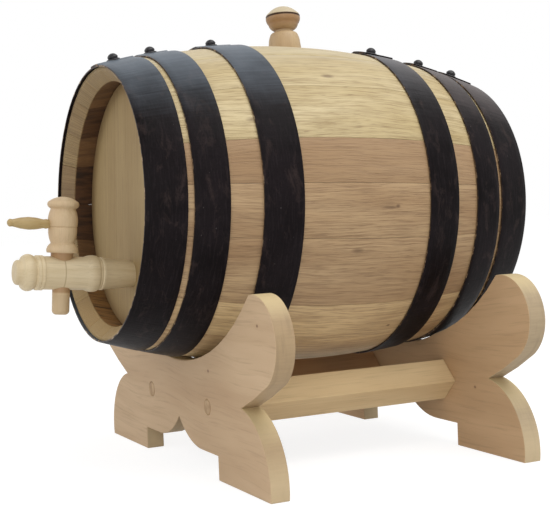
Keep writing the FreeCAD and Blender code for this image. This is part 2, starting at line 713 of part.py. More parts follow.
def cradleEnd(radius, lobe, depth):
    # Upper crossing of the cradle circle and the lobe circle, as (across, up) from the axis.
    rise = "(%s - %s)" % (radius, depth)
    fall = "(-lobeDrop - %s)" % rise
    span = "sqrt(%s ^ 2 + %s ^ 2)" % (lobe, fall)
    along = "((%s ^ 2 - lobeRadius ^ 2 + %s ^ 2) / (2 * %s))" % (radius, span, span)
    aside = "sqrt(%s ^ 2 - %s ^ 2)" % (radius, along)
    across = "(%s * %s - %s * %s) / %s" % (along, lobe, aside, fall, span)
    up = "%s + (%s * %s + %s * %s) / %s" % (rise, along, fall, aside, lobe, span)
    return across, up


def boardOutline(radius, lobe, depth):
    # Board seen from the front, heights from the cask axis: feet, curved legs, side notches,
    # lobes, the cradle, and a bracket-shaped arch between the feet.
    floor = "-axisHeight"
    arch = "(archHeight - axisHeight)"
    across, up = cradleEnd(radius, lobe, depth)
    lobeX = lobe + " + lobeRadius * cos(lobeStart)"
    lobeZ = "-lobeDrop - lobeRadius * sin(lobeStart)"
    right = [
        ("scallopAcross", arch, "radius", "scallopRadius", -1),
        ("footInner", arch),
        ("footInner", floor),
        ("footOuter", floor),
        ("notchAcross", "notchHeight - axisHeight", "radius", "legRadius", -1),
        (lobeX, lobeZ, "bow", "lobeBow", -1),
        (lobe + " + lobeRadius", "-lobeDrop", "radius", "lobeRadius", -1),
        (across, up, "radius", "lobeRadius", -1),
    ]
    # The left side is the mirror image, walked the other way.
    left = []
    for index in range(len(right) - 1, -1, -1):
        corner = ("-(%s)" % right[index][0], right[index][1])
        if index + 1 == len(right):
            left.append(corner + ("radius", radius, 1))
        else:
            left.append(corner + right[index + 1][2:])
    cusp = ("0", "cuspHeight - axisHeight", "radius", "scallopRadius", -1)
    return right + left + [cusp]


def makeBoard(name, frontFace, radius, lobe, depth):
    body = newBody(name)
    sketch = newSketch(body, "XZ_Plane", "outline")
    drawOutline(sketch, boardOutline(radius, lobe, depth))
    pad = body.newObject("PartDesign::Pad", name + "_pad")
    pad.Profile = sketch
    pad.Midplane = True
    bind(pad, "Length", "boardThick")
    for side, sign in (("right", ""), ("left", "-")):
        hole = newSketch(body, "XZ_Plane", "dowel_hole_" + side,
                         (sign + "railAcross", "railHeight - axisHeight"))
        drawCircle(hole, "dowelRadius + dowelFit")
        cut = body.newObject("PartDesign::Pocket", name + "_dowel_" + side)
        cut.Profile = hole
        cut.Midplane = True
        bind(cut, "Length", "3 * boardThick")
    body.Placement = FreeCAD.Placement(
        FreeCAD.Vector(0, caskShift() + frontFace + number("boardThick") / 2,
                       number("axisHeight")), FreeCAD.Rotation())
    return body


def makeRail(name, sign):
    # A square bar set on its edge between the boards, with a blind dowel hole in each end.
    body = newBody(name)
    sketch = newSketch(body, "XZ_Plane", "square")
    half = "railSide / 2"
    drawOutline(sketch, [("-" + half, "-" + half), (half, "-" + half),
                         (half, half), ("-" + half, half)])
    pad = body.newObject("PartDesign::Pad", name + "_pad")
    pad.Profile = sketch
    pad.Midplane = True
    bind(pad, "Length", "railLength")
    for place, end in (("front", "-"), ("rear", "")):
        hollowed(body, "YZ_Plane", "dowel_hole_" + place, [
            ("%s(railLength / 2 + 1)" % end, "0"),
            ("%s(railLength / 2 + 1)" % end, "dowelRadius + dowelFit"),
            ("%s(railLength / 2 - dowelDepth - 0.5)" % end, "dowelRadius + dowelFit"),
            ("%s(railLength / 2 - dowelDepth - 0.5)" % end, "0"),
        ], "H_Axis")
    middle = caskShift() + (number("frontSeatAt") + number("rearSeatAt")) / 2
    body.Placement = FreeCAD.Placement(
        FreeCAD.Vector(sign * number("railAcross"), middle, number("railHeight")),
        FreeCAD.Rotation(yAxis, 45))
    return body


def makeDowel(name, sign, end):
    # A round dowel through a board into the end of a rail, flush with the board's outer face.
    dowel = doc.addObject("Part::Cylinder", name)
    dowel.Label = name
    bind(dowel, "Radius", "dowelRadius")
    bind(dowel, "Height", "boardThick + dowelDepth")
    outer = -number("frontBoardAt") if end == "front" else number("rearBoardAt")
    tip = -90 if end == "front" else 90
    dowel.Placement = FreeCAD.Placement(
        FreeCAD.Vector(sign * number("railAcross"), caskShift() + outer, number("railHeight")),
        FreeCAD.Rotation(xAxis, tip))
    return dowel


def makeAll():
    parts = [makeStave(index) for index in range(1, len(staveWidths) + 1)]
    for end in ("front", "rear"):
        for place in ("left", "middle", "right"):
            parts.append(makeHeadBoard(end, place))
    for name, inset, width, turn in hoopSizes:
        parts.append(makeHoop(name))
        parts.append(makeRivet(name))
    parts += [makeTapBody(), makeTapKey(), makeTapPeg(), makeBung()]
    parts.append(makeBoard("front_board", -number("frontBoardAt"), "frontCradleRadius",
                           "frontLobe", "frontCradle"))
    parts.append(makeBoard("rear_board", number("rearSeatAt"), "rearCradleRadius",
                           "rearLobe", "rearCradle"))
    for side, sign in (("left", -1), ("right", 1)):
        parts.append(makeRail(side + "_rail", sign))
        for end in ("front", "rear"):
            parts.append(makeDowel("dowel_%s_%s" % (end, side), sign, end))
    return parts


def checkAll(parts):
    for thing in doc.Objects:
        if "Invalid" in thing.State or "Error" in thing.State:
            raise RuntimeError("failed: %s %s" % (thing.Label, thing.State))
    for part in parts:
        if part.Shape.isNull() or not part.Shape.isValid() or len(part.Shape.Solids) != 1:
            raise RuntimeError("bad shape: %s" % part.Label)


fillSheet()
allParts = makeAll()
doc.recompute()
checkAll(allParts)
os.makedirs("parts", exist_ok=True)
for part in allParts:
    part.Shape.exportStep("parts/%s.step" % part.Label)
print("wrote", len(allParts), "parts")
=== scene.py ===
import json
from math import asin, atan2, cos, degrees, hypot, pi, radians, sin, sqrt, tan

import bpy
from mathutils import Matrix, Vector


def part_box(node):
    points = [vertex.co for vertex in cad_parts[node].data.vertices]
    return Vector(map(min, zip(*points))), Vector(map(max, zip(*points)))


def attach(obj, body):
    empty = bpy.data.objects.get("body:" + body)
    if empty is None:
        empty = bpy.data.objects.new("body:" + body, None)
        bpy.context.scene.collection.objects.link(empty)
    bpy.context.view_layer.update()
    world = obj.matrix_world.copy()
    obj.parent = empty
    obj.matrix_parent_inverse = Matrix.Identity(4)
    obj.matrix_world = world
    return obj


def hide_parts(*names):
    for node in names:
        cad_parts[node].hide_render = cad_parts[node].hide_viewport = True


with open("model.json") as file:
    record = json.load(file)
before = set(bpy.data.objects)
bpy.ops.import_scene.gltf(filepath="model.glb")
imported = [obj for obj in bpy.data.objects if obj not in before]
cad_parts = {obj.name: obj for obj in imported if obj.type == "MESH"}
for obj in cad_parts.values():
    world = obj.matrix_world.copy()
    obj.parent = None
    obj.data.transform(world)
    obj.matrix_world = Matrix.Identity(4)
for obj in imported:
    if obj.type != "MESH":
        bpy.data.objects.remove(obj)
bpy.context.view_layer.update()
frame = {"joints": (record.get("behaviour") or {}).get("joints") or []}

# Oak cask liquor dispenser. The pieces' sizes are millimetres and degrees, and the camera,
# lamps and floor are placed in metres.
# The cask, its hoops, tap and bung are modelled level, about the middle of the cask's axis,
# and then tilted onto the stand.

mm = 0.001

cask = {
    "length": 260.0,
    "bilgeRadius": 103.3,
    "endRadius": 84.8,
    "staveThick": 10.4,
    "rimWidth": 2.4,
    "bevelLength": 7.0,
    "wallEnd": 118.0,         # the wall turns towards the chime's bevel
    "lean": 2.0,              # degrees that the tap end is raised
    "tapDrop": 41.9,          # tap under the cask's axis, at the key
    "keyOut": 155.2,          # cask's middle to the key's axis
    "bungTurn": -7.0,         # degrees from the top to the bung stave
    "bungBehind": 6.0,        # bung's axis behind the cask's middle
}

croze = {
    "at": 104.0,              # middle of the groove
    "depth": 3.0,
    "mouth": 3.5,             # half widths
    "floor": 2.0,
}
past = 4                      # a cutter's reach past what it cuts

half = cask["length"] / 2
endSag = cask["bilgeRadius"] - cask["endRadius"]
arcRadius = (half ** 2 + endSag ** 2) / (2 * endSag)
arcDrop = arcRadius - cask["bilgeRadius"]
innerArc = arcRadius - cask["staveThick"]

tapTurn = next(joint for joint in frame["joints"] if joint["name"] == "tap_turn")
lean = radians(cask["lean"])
leanTurn = Matrix.Rotation(-lean, 4, "X")
keySeat = Vector((0, -cask["keyOut"] * mm, -cask["tapDrop"] * mm))
caskMiddle = Vector(tapTurn["pos_m"]) - leanTurn @ keySeat
caskPlace = Matrix.Translation(caskMiddle) @ leanTurn
# The tap's nose is raised a little in the head.
tapTilt = atan2(tapTurn["axis"][1], tapTurn["axis"][2]) - lean
tapPlace = caskPlace @ Matrix.Translation(keySeat) @ Matrix.Rotation(-tapTilt, 4, "X")


def woodRadius(at):
    return sqrt(arcRadius ** 2 - at ** 2) - arcDrop


def turnedBy(angle):
    # A turn about the cask's axis.
    return Matrix.Rotation(radians(angle), 4, "Y")


bungSeat = Matrix.Translation((0, cask["bungBehind"] * mm, woodRadius(cask["bungBehind"]) * mm))
bungPlace = caskPlace @ turnedBy(cask["bungTurn"]) @ bungSeat


def innerRadius(at):
    return sqrt(innerArc ** 2 - at ** 2) - arcDrop


# Drawing and turning

def enter(mode):
    bpy.ops.object.mode_set(mode=mode)


def selectAll():
    bpy.ops.mesh.select_all(action="SELECT")


def clearSelection():
    if bpy.context.mode != "OBJECT":
        enter("OBJECT")
    bpy.ops.object.select_all(action="DESELECT")


def takeUp(piece):
    clearSelection()
    bpy.context.view_layer.objects.active = piece
    piece.select_set(True)
    return piece


def bow(start, end, rise, step=7.0):
    # Points after start on the arc to end; a rise above 0 bulges to the left of the way.
    startPoint, endPoint = Vector(start), Vector(end)
    chord = endPoint - startPoint
    across = chord.length / 2
    size = abs(rise)
    radius = (across ** 2 + size ** 2) / (2 * size)
    side = 1 if rise > 0 else -1
    left = Vector((-chord.y, chord.x)).normalized()
    centre = (startPoint + endPoint) / 2 - left * side * (radius - size)
    sweep = 2 * asin(min(1.0, across / radius))
    if size > across:
        sweep = 2 * pi - sweep
    count = max(2, round(degrees(sweep) / step))
    spoke = startPoint - centre
    points = []
    for index in range(1, count + 1):
        angle = -side * sweep * index / count
        points.append((centre.x + spoke.x * cos(angle) - spoke.y * sin(angle),
                       centre.y + spoke.x * sin(angle) + spoke.y * cos(angle)))
    points[-1] = tuple(end)
    return points


def rise(start, end, radius):
    # Rise of the smaller arc of that radius over its chord.
    across = (Vector(end) - Vector(start)).length / 2
    return radius - sqrt(radius ** 2 - across ** 2)


def domeRise(halfWidth, height):
    # Rise of the half arc that ends square on the axis.
    radius = (halfWidth ** 2 + height ** 2) / (2 * height)
    chord = hypot(halfWidth, height)
    return radius - sqrt(radius ** 2 - chord ** 2 / 4)


def outline(steps, step=7.0):
    # Steps are corners (x, y), or (x, y, rise) for an arc that ends there.
    points = [tuple(steps[0][:2])]
    for corner in steps[1:]:
        if len(corner) == 3 and abs(corner[2]) > 1e-6:
            points += bow(points[-1], corner[:2], corner[2], step)
        else:
            points.append(tuple(corner[:2]))
    return points


def drawWire(name, points):
    # Points may be in metres, or (along, up) of a level profile in millimetres.
    # A plane is merged to one point, and the line is extruded from it corner by corner.
    if len(points[0]) == 2:
        points = [Vector((0, x, y)) * mm for x, y in points]
    clearSelection()
    bpy.ops.mesh.primitive_plane_add(size=0.002, location=(0, 0, 0))
    piece = bpy.context.object
    piece.name = name
    enter("EDIT")
    bpy.ops.mesh.select_mode(type="VERT")
    bpy.ops.mesh.merge(type="CENTER")
    bpy.ops.transform.translate(value=points[0])
    last = Vector(points[0])
    for point in points[1:]:
        bpy.ops.mesh.extrude_region_move(TRANSFORM_OT_translate={"value": Vector(point) - last})
        last = Vector(point)
    selectAll()
    return piece


def spin(steps, sweep=360, axis=(0, 1, 0)):
    bpy.ops.mesh.spin(steps=steps, angle=radians(sweep), center=(0, 0, 0), axis=axis)


def tidyShell():
    selectAll()
    bpy.ops.mesh.remove_doubles(threshold=0.00002)
    bpy.ops.mesh.normals_make_consistent(inside=False)
    enter("OBJECT")


def addModifier(piece, kind, **settings):
    takeUp(piece)
    modifier = piece.modifiers.new(kind.title(), kind)
    for setting, value in settings.items():
        setattr(modifier, setting, value)
    bpy.ops.object.modifier_apply(modifier=modifier.name)


def softenEdges(piece, width, angle=40):
    addModifier(piece, "BEVEL", width=width * mm, segments=2, limit_method="ANGLE",
                angle_limit=radians(angle))


def lathe(name, profile, axis, sides=96, edge=0.0):
    # Turns a profile about an axis: for "Z" it is (radius, height), for "Y" (along, radius).
    direction = (0, 1, 0)
    if axis == "Z":
        profile = [Vector((x, 0, y)) * mm for x, y in profile]
        direction = (0, 0, 1)
    piece = drawWire(name, profile)
    spin(sides, axis=direction)
    tidyShell()
    if edge:
        softenEdges(piece, edge)
    return piece


def place(piece, matrix):
    takeUp(piece)
    piece.matrix_world = matrix @ piece.matrix_world
    bpy.ops.object.transform_apply(location=True, rotation=True, scale=True)
    return piece


def copyPiece(piece, name):
    takeUp(piece)
    bpy.ops.object.duplicate(linked=False)
    twin = bpy.context.object
    twin.name = name
    return twin


def bore(piece, axis, start, end, placing, sides=64):
    # Cuts a round hole from start to end, each (place along the axis, radius).
    points = [(start[0], 0), start, end, (end[0], 0)]
    if axis == "Z":
        points = [(radius, at) for at, radius in points]
    cutter = place(lathe("borer", points, axis, sides), placing)
    addModifier(piece, "BOOLEAN", operation="DIFFERENCE", solver="EXACT", object=cutter)
    bpy.data.objects.remove(cutter)


def seamEdges(width):
    # Bevels the rims of the selected faces in the piece's second finish.
    bpy.ops.mesh.region_to_loop()
    bpy.ops.mesh.bevel(offset=width * mm, segments=2, affect="EDGES", material=1)
    enter("OBJECT")


def selectFaces(piece, test):
    # Leaves the piece in edit mode with the faces that pass the test selected.
    takeUp(piece)
    enter("EDIT")
    bpy.ops.mesh.select_mode(type="FACE")
    bpy.ops.mesh.select_all(action="DESELECT")
    enter("OBJECT")
    for face in piece.data.polygons:
        face.select = test(face)
    enter("EDIT")


def note(piece, name, value):
    # A number that the finish reads, the same all over the piece.
    layer = piece.data.attributes.new(name, "FLOAT", "POINT")
    layer.data.foreach_set("value", [value] * len(piece.data.vertices))


def finishPiece(piece, body, node, finishes, smooth=32):
    takeUp(piece)
    bpy.ops.object.shade_smooth_by_angle(angle=radians(smooth))
    piece.data.materials.clear()
    for finish in finishes:
        piece.data.materials.append(finish)
    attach(piece, body)
    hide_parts(node)


# Finishes

class Wire:
    # A socket that can stand in a sum.
    def __init__(self, finish, socket):
        self.finish = finish
        self.socket = socket

    def sum(self, operation, *values):
        return self.finish.node("ShaderNodeMath", {"operation": operation},
                                dict(enumerate(values)))

    def __add__(self, other):
        return self.sum("ADD", self, other)

    def __sub__(self, other):
        return self.sum("SUBTRACT", self, other)

    def __rsub__(self, other):
        return self.sum("SUBTRACT", other, self)

    def __mul__(self, other):
        return self.sum("MULTIPLY", self, other)

    def __truediv__(self, other):
        return self.sum("DIVIDE", self, other)

    def __pow__(self, other):
        return self.sum("POWER", self, other)

    def __abs__(self):
        return self.sum("ABSOLUTE", self)

    def root(self):
        return self.sum("SQRT", self)


class Finish:
    # A material on the principled shader, built node by node.
    def __init__(self, name, roughness=0.6, **constants):
        self.material = bpy.data.materials.new(name)
        self.material.use_nodes = True
        self.tree = self.material.node_tree
        self.shader = self.tree.nodes["Principled BSDF"]
        self.shader.inputs["Roughness"].default_value = roughness
        for socket, value in constants.items():
            self.shader.inputs[socket.replace("_", " ")].default_value = value
        self.object = self.node("ShaderNodeTexCoord", out="Object")

    def node(self, kind, settings=None, inputs=None, out=0):
        made = self.tree.nodes.new(kind)
        for setting, value in (settings or {}).items():
            setattr(made, setting, value)
        for socket, value in (inputs or {}).items():
            if isinstance(value, Wire):
                self.tree.links.new(value.socket, made.inputs[socket])
            else:
                made.inputs[socket].default_value = value
        return Wire(self, made.outputs[out])

    def feed(self, socket, wire):
        self.tree.links.new(wire.socket, self.shader.inputs[socket])

    def done(self, base, height, strength, depth):
        # Closes the material with its colour and a bump of that depth in metres.
        self.feed("Base Color", base)
        self.feed("Normal", self.node(
            "ShaderNodeBump", None, {"Height": height, "Strength": strength, "Distance": depth}))
        return self.material

    def frameOf(self, turn=(0, 0, 0), shift=(0, 0, 0), scale=(1, 1, 1), vector=None):
        return self.node("ShaderNodeMapping", None,
                         {"Vector": vector or self.object, "Rotation": turn,
                          "Location": shift, "Scale": scale})

    def noise(self, vector, scale=1.0, detail=2.0, rough=0.5, twist=0.0):
        # The vector may be given as x, y and z. A scale of three numbers stretches the noise.
        if isinstance(vector, tuple):
            vector = self.join(*vector)
        if not isinstance(scale, float):
            vector, scale = self.frameOf(scale=scale, vector=vector), 1.0
        return self.node("ShaderNodeTexNoise", None,
                         {"Vector": vector, "Scale": scale, "Detail": detail,
                          "Roughness": rough, "Distortion": twist})

    def cells(self, vector, scale):
        # Distance from the nearest of many scattered points.
        return self.node("ShaderNodeTexVoronoi", None,
                         {"Vector": self.frameOf(scale=scale, vector=vector), "Scale": 1.0},
                         "Distance")

    def ramp(self, value, low, high, bottom=0.0, top=1.0):
        # Value from low to high becomes bottom to top, and stays there past the ends.
        return self.node("ShaderNodeMapRange", None,
                         {"Value": value, "From Min": low, "From Max": high,
                          "To Min": bottom, "To Max": top})

    def mix(self, factor, first, second):
        first, second = (shade if isinstance(shade, Wire) else (*shade, 1)
                         for shade in (first, second))
        return self.node("ShaderNodeMix", {"data_type": "RGBA"},
                         {0: factor, 6: first, 7: second}, 2)

    def stain(self, base, *coats):
        # Lays each coat's colour over the base, through the coat's mask.
        for mask, shade in coats:
            base = self.mix(mask, base, shade)
        return base

    def split(self, vector):
        made = self.node("ShaderNodeSeparateXYZ", None, {"Vector": vector})
        return [Wire(self, output) for output in made.socket.node.outputs]

    def join(self, x, y, z):
        return self.node("ShaderNodeCombineXYZ", None, {"X": x, "Y": y, "Z": z})

    def facing(self):
        # x, y and z of the way that the surface faces.
        return self.split(self.node("ShaderNodeTexCoord", out="Normal"))

    def farFrom(self, vector, centre, sizes):
        # Distance from the centre, 1 on an ellipsoid of these half sizes in millimetres.
        total = 0.0
        for part, middle, size in zip(self.split(vector), centre, sizes):
            offset = (part - middle * mm) / (size * mm)
            total = offset * offset + total
        return total.root()

    def attribute(self, name):
        return self.node("ShaderNodeAttribute", {"attribute_name": name}, out="Fac")


def linear(channel):
    share = channel / 255
    return share / 12.92 if share <= 0.04045 else ((share + 0.055) / 1.055) ** 2.4


def paints(**shades):
    # Colours as a painter's 0 to 255 become linear light.
    return {name: tuple(linear(channel) for channel in shade) for name, shade in shades.items()}


def dimmed(shade, share):
    return [channel * share for channel in shade]


def frameAt(finish, placing):
    # Points as they were before the piece was put in its place.
    back = placing.inverted()
    return finish.frameOf(turn=tuple(back.to_euler("XYZ")), shift=tuple(back.translation))


oak = paints(
    pale=(199, 183, 143), paleDeep=(181, 160, 112), tan=(171, 142, 106), tanDeep=(150, 119, 84),
    # low is partly the low staves' own duller tone and partly painted fill light, lightened as if
    # lit from below.
    low=(209, 181, 135), line=(128, 102, 60), tanLine=(108, 80, 54), pore=(112, 84, 54),
    knot=(92, 66, 42), dust=(212, 203, 182), seam=(104, 76, 46), seamDeep=(62, 43, 26),
    char=(46, 29, 19), toast=(82, 54, 33), paleToast=(118, 86, 54), bare=(162, 122, 72),
    chime=(162, 138, 97), chimeDeep=(110, 88, 58), chimeLow=(176, 146, 94),
    head=(159, 136, 94), headDeep=(147, 123, 81), headRing=(130, 106, 68),
    headLine=(118, 94, 58), headToast=(120, 90, 58),
)
# Single knots: place in the level cask, length along the grain, darkness.
knots = [((102.5, 22.7, -3.1), 1.3, 0.8), ((102.9, 17.6, -3.9), 6.0, 0.6),
         ((65.1, 37.9, -78.0), 1.2, 0.9)]
knotWidth = 0.9


def staveFinish():
    finish = Finish("stavesOak", roughness=0.62)
    ramp, noise = finish.ramp, finish.noise
    spot = frameAt(finish, caskPlace)
    tone = finish.attribute("staveTone")
    seed = finish.attribute("staveSeed")
    x, y, z = finish.split(spot)
    radius = (x * x + z * z).root()
    angle = x.sum("ARCTAN2", x, z)
    outer = ((arcRadius * mm) ** 2 - y * y).root() - arcDrop * mm
    depth = outer - radius
    # The grain follows the bent staves; long waves and a slight ripple carry it up and down.
    wave = noise((x * 9 + seed, y * 8 + seed, z * 9), 1.0, 1.0) - 0.5
    ripple = noise((x * 45 + seed, y * 34, z * 45), 1.0, 1.0) - 0.5
    bend = wave * 0.010 + ripple * 0.0022
    wood = finish.join(angle * 0.1 + bend + seed, y + seed * 3, depth)
    cloud = noise(wood, (30, 6, 30), 3.0, 0.55)
    rings = noise(wood, (380, 14, 380), 2.0, 0.5, 0.2)
    lines = ramp(noise(wood, (1050, 34, 1050), 1.0), 0.5, 0.64)
    hairs = ramp(noise(wood, (1900, 70, 1900), 2.0, 0.55), 0.52, 0.66)
    pores = ramp(noise(wood, (1700, 110, 1700), 1.0), 0.58, 0.70)
    pores = pores * ramp(rings, 0.36, 0.6)
    specks = finish.cells(wood, (22, 9, 22))

    deep = ramp(cloud, 0.35, 0.68)
    pale = finish.mix(deep, oak["pale"], oak["paleDeep"])
    tanned = finish.mix(deep, oak["tan"], oak["tanDeep"])
    # The low staves' colour carries painted fill light from below as well as their duller tone.
    low = finish.mix(ramp(cloud, 0.35, 0.7), oak["low"], oak["tanDeep"])
    tanness = ramp(tone, 0.1, 0.8)
    dark = finish.mix(tanness, oak["line"], oak["tanLine"])
    base = finish.stain(
        pale, (ramp(tone, 0.0, 0.5), low), (ramp(tone, 0.5, 1.0), tanned),
        (ramp(rings, 0.45, 0.66) * 0.22, dark), (lines * 0.36, dark),
        (hairs * 0.36, dark), (pores * 0.42, oak["pore"]),
        (ramp(tone, 1.0, 1.2) * 0.6, oak["tanDeep"]),
        # Dust and a painted sheen grey the top of the cask a little: faces that look up are
        # lighter and greyer, standing in for light from above.
        (ramp(finish.facing()[2], 0.8, 1.0) * 0.45, oak["dust"]),
        (ramp(specks, 0.022, 0.05, 1.0, 0.0) * 0.6, oak["knot"]))
    for middle, length, darkness in knots:
        far = finish.farFrom(spot, middle, (knotWidth, length, knotWidth))
        base = finish.mix(ramp(far, 0.5, 1.5, darkness, 0.0), base, oak["knot"])

    # Inside of the cask: char under a toasted wall, and the grey-tan bevel at the chimes.
    ragged = noise(spot, (60, 60, 60), 2.0, 0.6)
    inside = ramp(depth, 0.0086, 0.0094)
    rim = ramp(abs(y) + (ragged - 0.5) * 0.0016, 0.1222, 0.1229)
    radial = noise((angle * 110 + seed * 9, radius * 26, seed), 1.0, 3.0, 0.65)
    fine = noise((angle * 300 + seed * 9, radius * 40, seed), 1.0, 2.0, 0.6)
    blotch = noise((angle * 9 + seed * 9, radius * 60, seed), 1.0, 2.0, 0.6)
    chime = finish.stain(
        oak["chime"], (ramp(radial, 0.42, 0.62) * 0.6, oak["chimeDeep"]),
        (ramp(fine, 0.5, 0.66) * 0.6, oak["chimeDeep"]),
        (ramp(blotch, 0.4, 0.7) * 0.3, oak["chimeDeep"]),
        (ramp(tone, 0.6, 0.9) * 0.6, oak["tanLine"]),
        (ramp(z, -0.03, -0.07) * 0.7, oak["chimeLow"]))
    scorch = noise(wood, (190, 26, 190), 4.0, 0.7)
    burnt = ramp(scorch, 0.42, 0.62) * ramp(tone, 0.1, 0.8, 0.45, 1.0)
    # The toast thins out to orange low in the cask.
    bare = ramp(z, -0.034, -0.062) * ramp(scorch, 0.66, 0.46)
    toast = finish.stain(oak["paleToast"], (tanness, oak["toast"]), (burnt, oak["char"]),
                         (bare * 0.85, oak["bare"]))
    endGrain = ramp(depth, 0.0003, 0.0012) * rim
    base = finish.stain(base, (endGrain, chime), (inside * (1 - rim), toast))
    finish.feed("Roughness", ramp(cloud, 0.3, 0.7, 0.56, 0.68))
    height = lines * -0.4 + hairs * -0.3 + pores * -0.8 + rings * 0.4
    return finish.done(base, height + radial * endGrain * 1.2, 0.5, 0.0004)


def headFinish():
    finish = Finish("headOak", roughness=0.66)
    ramp, noise = finish.ramp, finish.noise
    spot = frameAt(finish, caskPlace)
    seed = finish.attribute("staveSeed")
    x, y, z = finish.split(spot)
    bend = noise((x * 12 + seed, y * 8, z * 5 + seed), 1.0, 1.0) - 0.5
    wood = finish.join(x + bend * 0.006 + seed, y, z + seed)
    cloud = noise(spot, (30, 30, 6))
    rings = noise(wood, (260, 260, 7), 3.0, 0.6, 0.3)
    lines = ramp(noise(wood, (700, 700, 16), 2.0, 0.6), 0.5, 0.68)
    pores = ramp(noise(wood, (1400, 1400, 60), 1.0), 0.58, 0.7)
    # Darker round the rim, by the croze.
    rim = ramp((x * x + z * z).root() + (cloud - 0.5) * 0.01, 0.070, 0.082)
    base = finish.stain(
        oak["head"], (ramp(cloud, 0.3, 0.7), oak["headDeep"]),
        (ramp(rings, 0.46, 0.68) * 0.32, oak["headRing"]),
        (lines * 0.42, oak["headLine"]), (pores * 0.35, oak["pore"]),
        (rim * 0.5, oak["headToast"]))
    return finish.done(base, rings * 0.5 + lines * -0.4 + pores * -0.5, 0.4, 0.0004)


steel = paints(
    black=(15, 11, 12), grey=(28, 23, 25), brushed=(40, 34, 36), smear=(60, 49, 47),
    scale=(10, 8, 9), frontDust=(112, 120, 129), rearDust=(116, 108, 107), chip=(112, 106, 104),
    edge=(44, 34, 30), edgeRust=(104, 78, 54), edgeBare=(168, 150, 126),
    rivet=(18, 17, 20), rivetGrey=(38, 36, 40),
)


def hoopFinish():
    # Black strip: duller, lighter and bluer on top, a painted sheen of the light from above with
    # some dust in the finish.
    finish = Finish("hoopSteel", roughness=0.42, Specular_IOR_Level=0.05)
    ramp, noise = finish.ramp, finish.noise
    spot = frameAt(finish, caskPlace)
    x, y, z = finish.split(spot)
    angle = x.sum("ARCTAN2", x, z)
    cloud = noise(spot, 26.0, 4.0, 0.62)
    dents = noise(spot, 150.0, 3.0, 0.6)
    scale = noise(spot, 900.0, 3.0, 0.7)
    # Each in a plane of its own in the noise.
    brushed = noise((angle * 8, y * 900, 0.0), 1.0, 3.0, 0.7)
    hammered = noise((angle * 60, y * 30, 3.0), 1.0, 2.0, 0.6)
    smear = noise((angle * 5, y * 120, 5.0), 1.0, 4.0, 0.7, 0.6)
    chips = ramp(finish.cells(spot, (120, 240, 120)), 0.03, 0.06, 1.0, 0.0)
    chips = chips * ramp(cloud, 0.48, 0.6)
    up = finish.facing()[2]
    # Painted sheen: faces that look up are lightened, blue grey at the front and brown grey
    # behind, with a little dust.
    dust = ramp(up + (cloud - 0.5) * 0.3 + (hammered - 0.5) * 0.15, 0.5, 1.0)
    veil = finish.mix(ramp(y, 0.0, 0.09), steel["frontDust"], steel["rearDust"])
    base = finish.stain(
        steel["black"], (ramp(cloud, 0.36, 0.68), steel["grey"]),
        (ramp(brushed, 0.5, 0.68) * 0.5, steel["brushed"]),
        (ramp(smear, 0.54, 0.72) * 0.6, steel["smear"]),
        (ramp(scale, 0.5, 0.72) * 0.5, steel["scale"]),
        (dust ** 1.5 * 0.88, veil), (chips * 0.5, steel["chip"]))
    finish.feed("Roughness", ramp(cloud + brushed * 0.4, 0.5, 0.95, 0.36, 0.54))
    height = dents * 0.6 + brushed * 0.25 + hammered * 0.4 + scale * 0.16
    return finish.done(base, height, 0.5, 0.0005)


def cloudedFinish(finish, size, mask, pale, deep, depth, shine=None):
    # Two shades in clouds; shine is the roughness from the pale to the deep ones.
    cloud = finish.noise(finish.object, size, 3.0, 0.6)
    if shine:
        finish.feed("Roughness", finish.ramp(cloud, 0.3, 0.7, *shine))
    return finish.done(finish.mix(finish.ramp(cloud, *mask), pale, deep), cloud, 0.3, depth)


def hoopEdgeFinish():
    finish = Finish("hoopSheared", roughness=0.5, Specular_IOR_Level=0.3)
    cloud = finish.noise(finish.object, 170.0, 4.0, 0.75)
    bare = finish.ramp(cloud, 0.5, 0.58)
    worn = finish.mix(finish.ramp(cloud, 0.56, 0.66), steel["edgeRust"], steel["edgeBare"])
    finish.feed("Metallic", bare * 0.3)
    return finish.done(finish.mix(bare, steel["edge"], worn), cloud, 0.4, 0.0003)


turned = paints(
    tap=(222, 206, 173), tapDeep=(198, 178, 140), tapTaper=(196, 172, 126),
    tapNose=(184, 164, 128), scribe=(150, 124, 84),
    key=(216, 194, 158), keyDeep=(192, 164, 127), keyPlug=(150, 108, 62), spout=(176, 152, 116),
    peg=(196, 174, 124), pegDeep=(158, 130, 80),
    bung=(190, 165, 127), bungDeep=(166, 137, 99), bowl=(142, 100, 56), dome=(190, 177, 148),
    bungPlug=(150, 112, 72), burnt=(66, 40, 18),
)


def turnedFinish(name, shade, along, placing, bumpStrength=0.25):
    # Pale turned wood: grain runs along the piece, and the lathe leaves fine rings across it.
    # Gives the finish, places in the level piece and a function that closes it with coats.
    finish = Finish(name, roughness=0.5)
    spot = frameAt(finish, placing)
    pale, deep = turned[shade], turned[shade + "Deep"]
    stretch = {"Y": (1, 0.05, 1), "Z": (1, 1, 0.05)}[along]
    cloud, streak, hair = (
        finish.noise(spot, [size * part for part in stretch], detail, rough, twist)
        for size, detail, rough, twist in ((70, 2.0, 0.5, 0.0), (420, 3.0, 0.6, 0.3),
                                           (1500, 2.0, 0.6, 0.0)))
    x, y, z = finish.split(spot)
    rings = finish.noise((0.0, 0.0, (y if along == "Y" else z) * 1900), 1.0, 1.0)
    base = finish.stain(
        pale, (finish.ramp(cloud, 0.35, 0.7), deep), (finish.ramp(streak, 0.46, 0.68) * 0.5, deep),
        (finish.ramp(hair, 0.54, 0.7) * 0.34, dimmed(deep, 0.72)))

    def close(*coats):
        return finish.done(finish.stain(base, *coats), streak * 0.4 + rings * 0.5, bumpStrength,
                           0.0002)

    return finish, spot, y, z, close


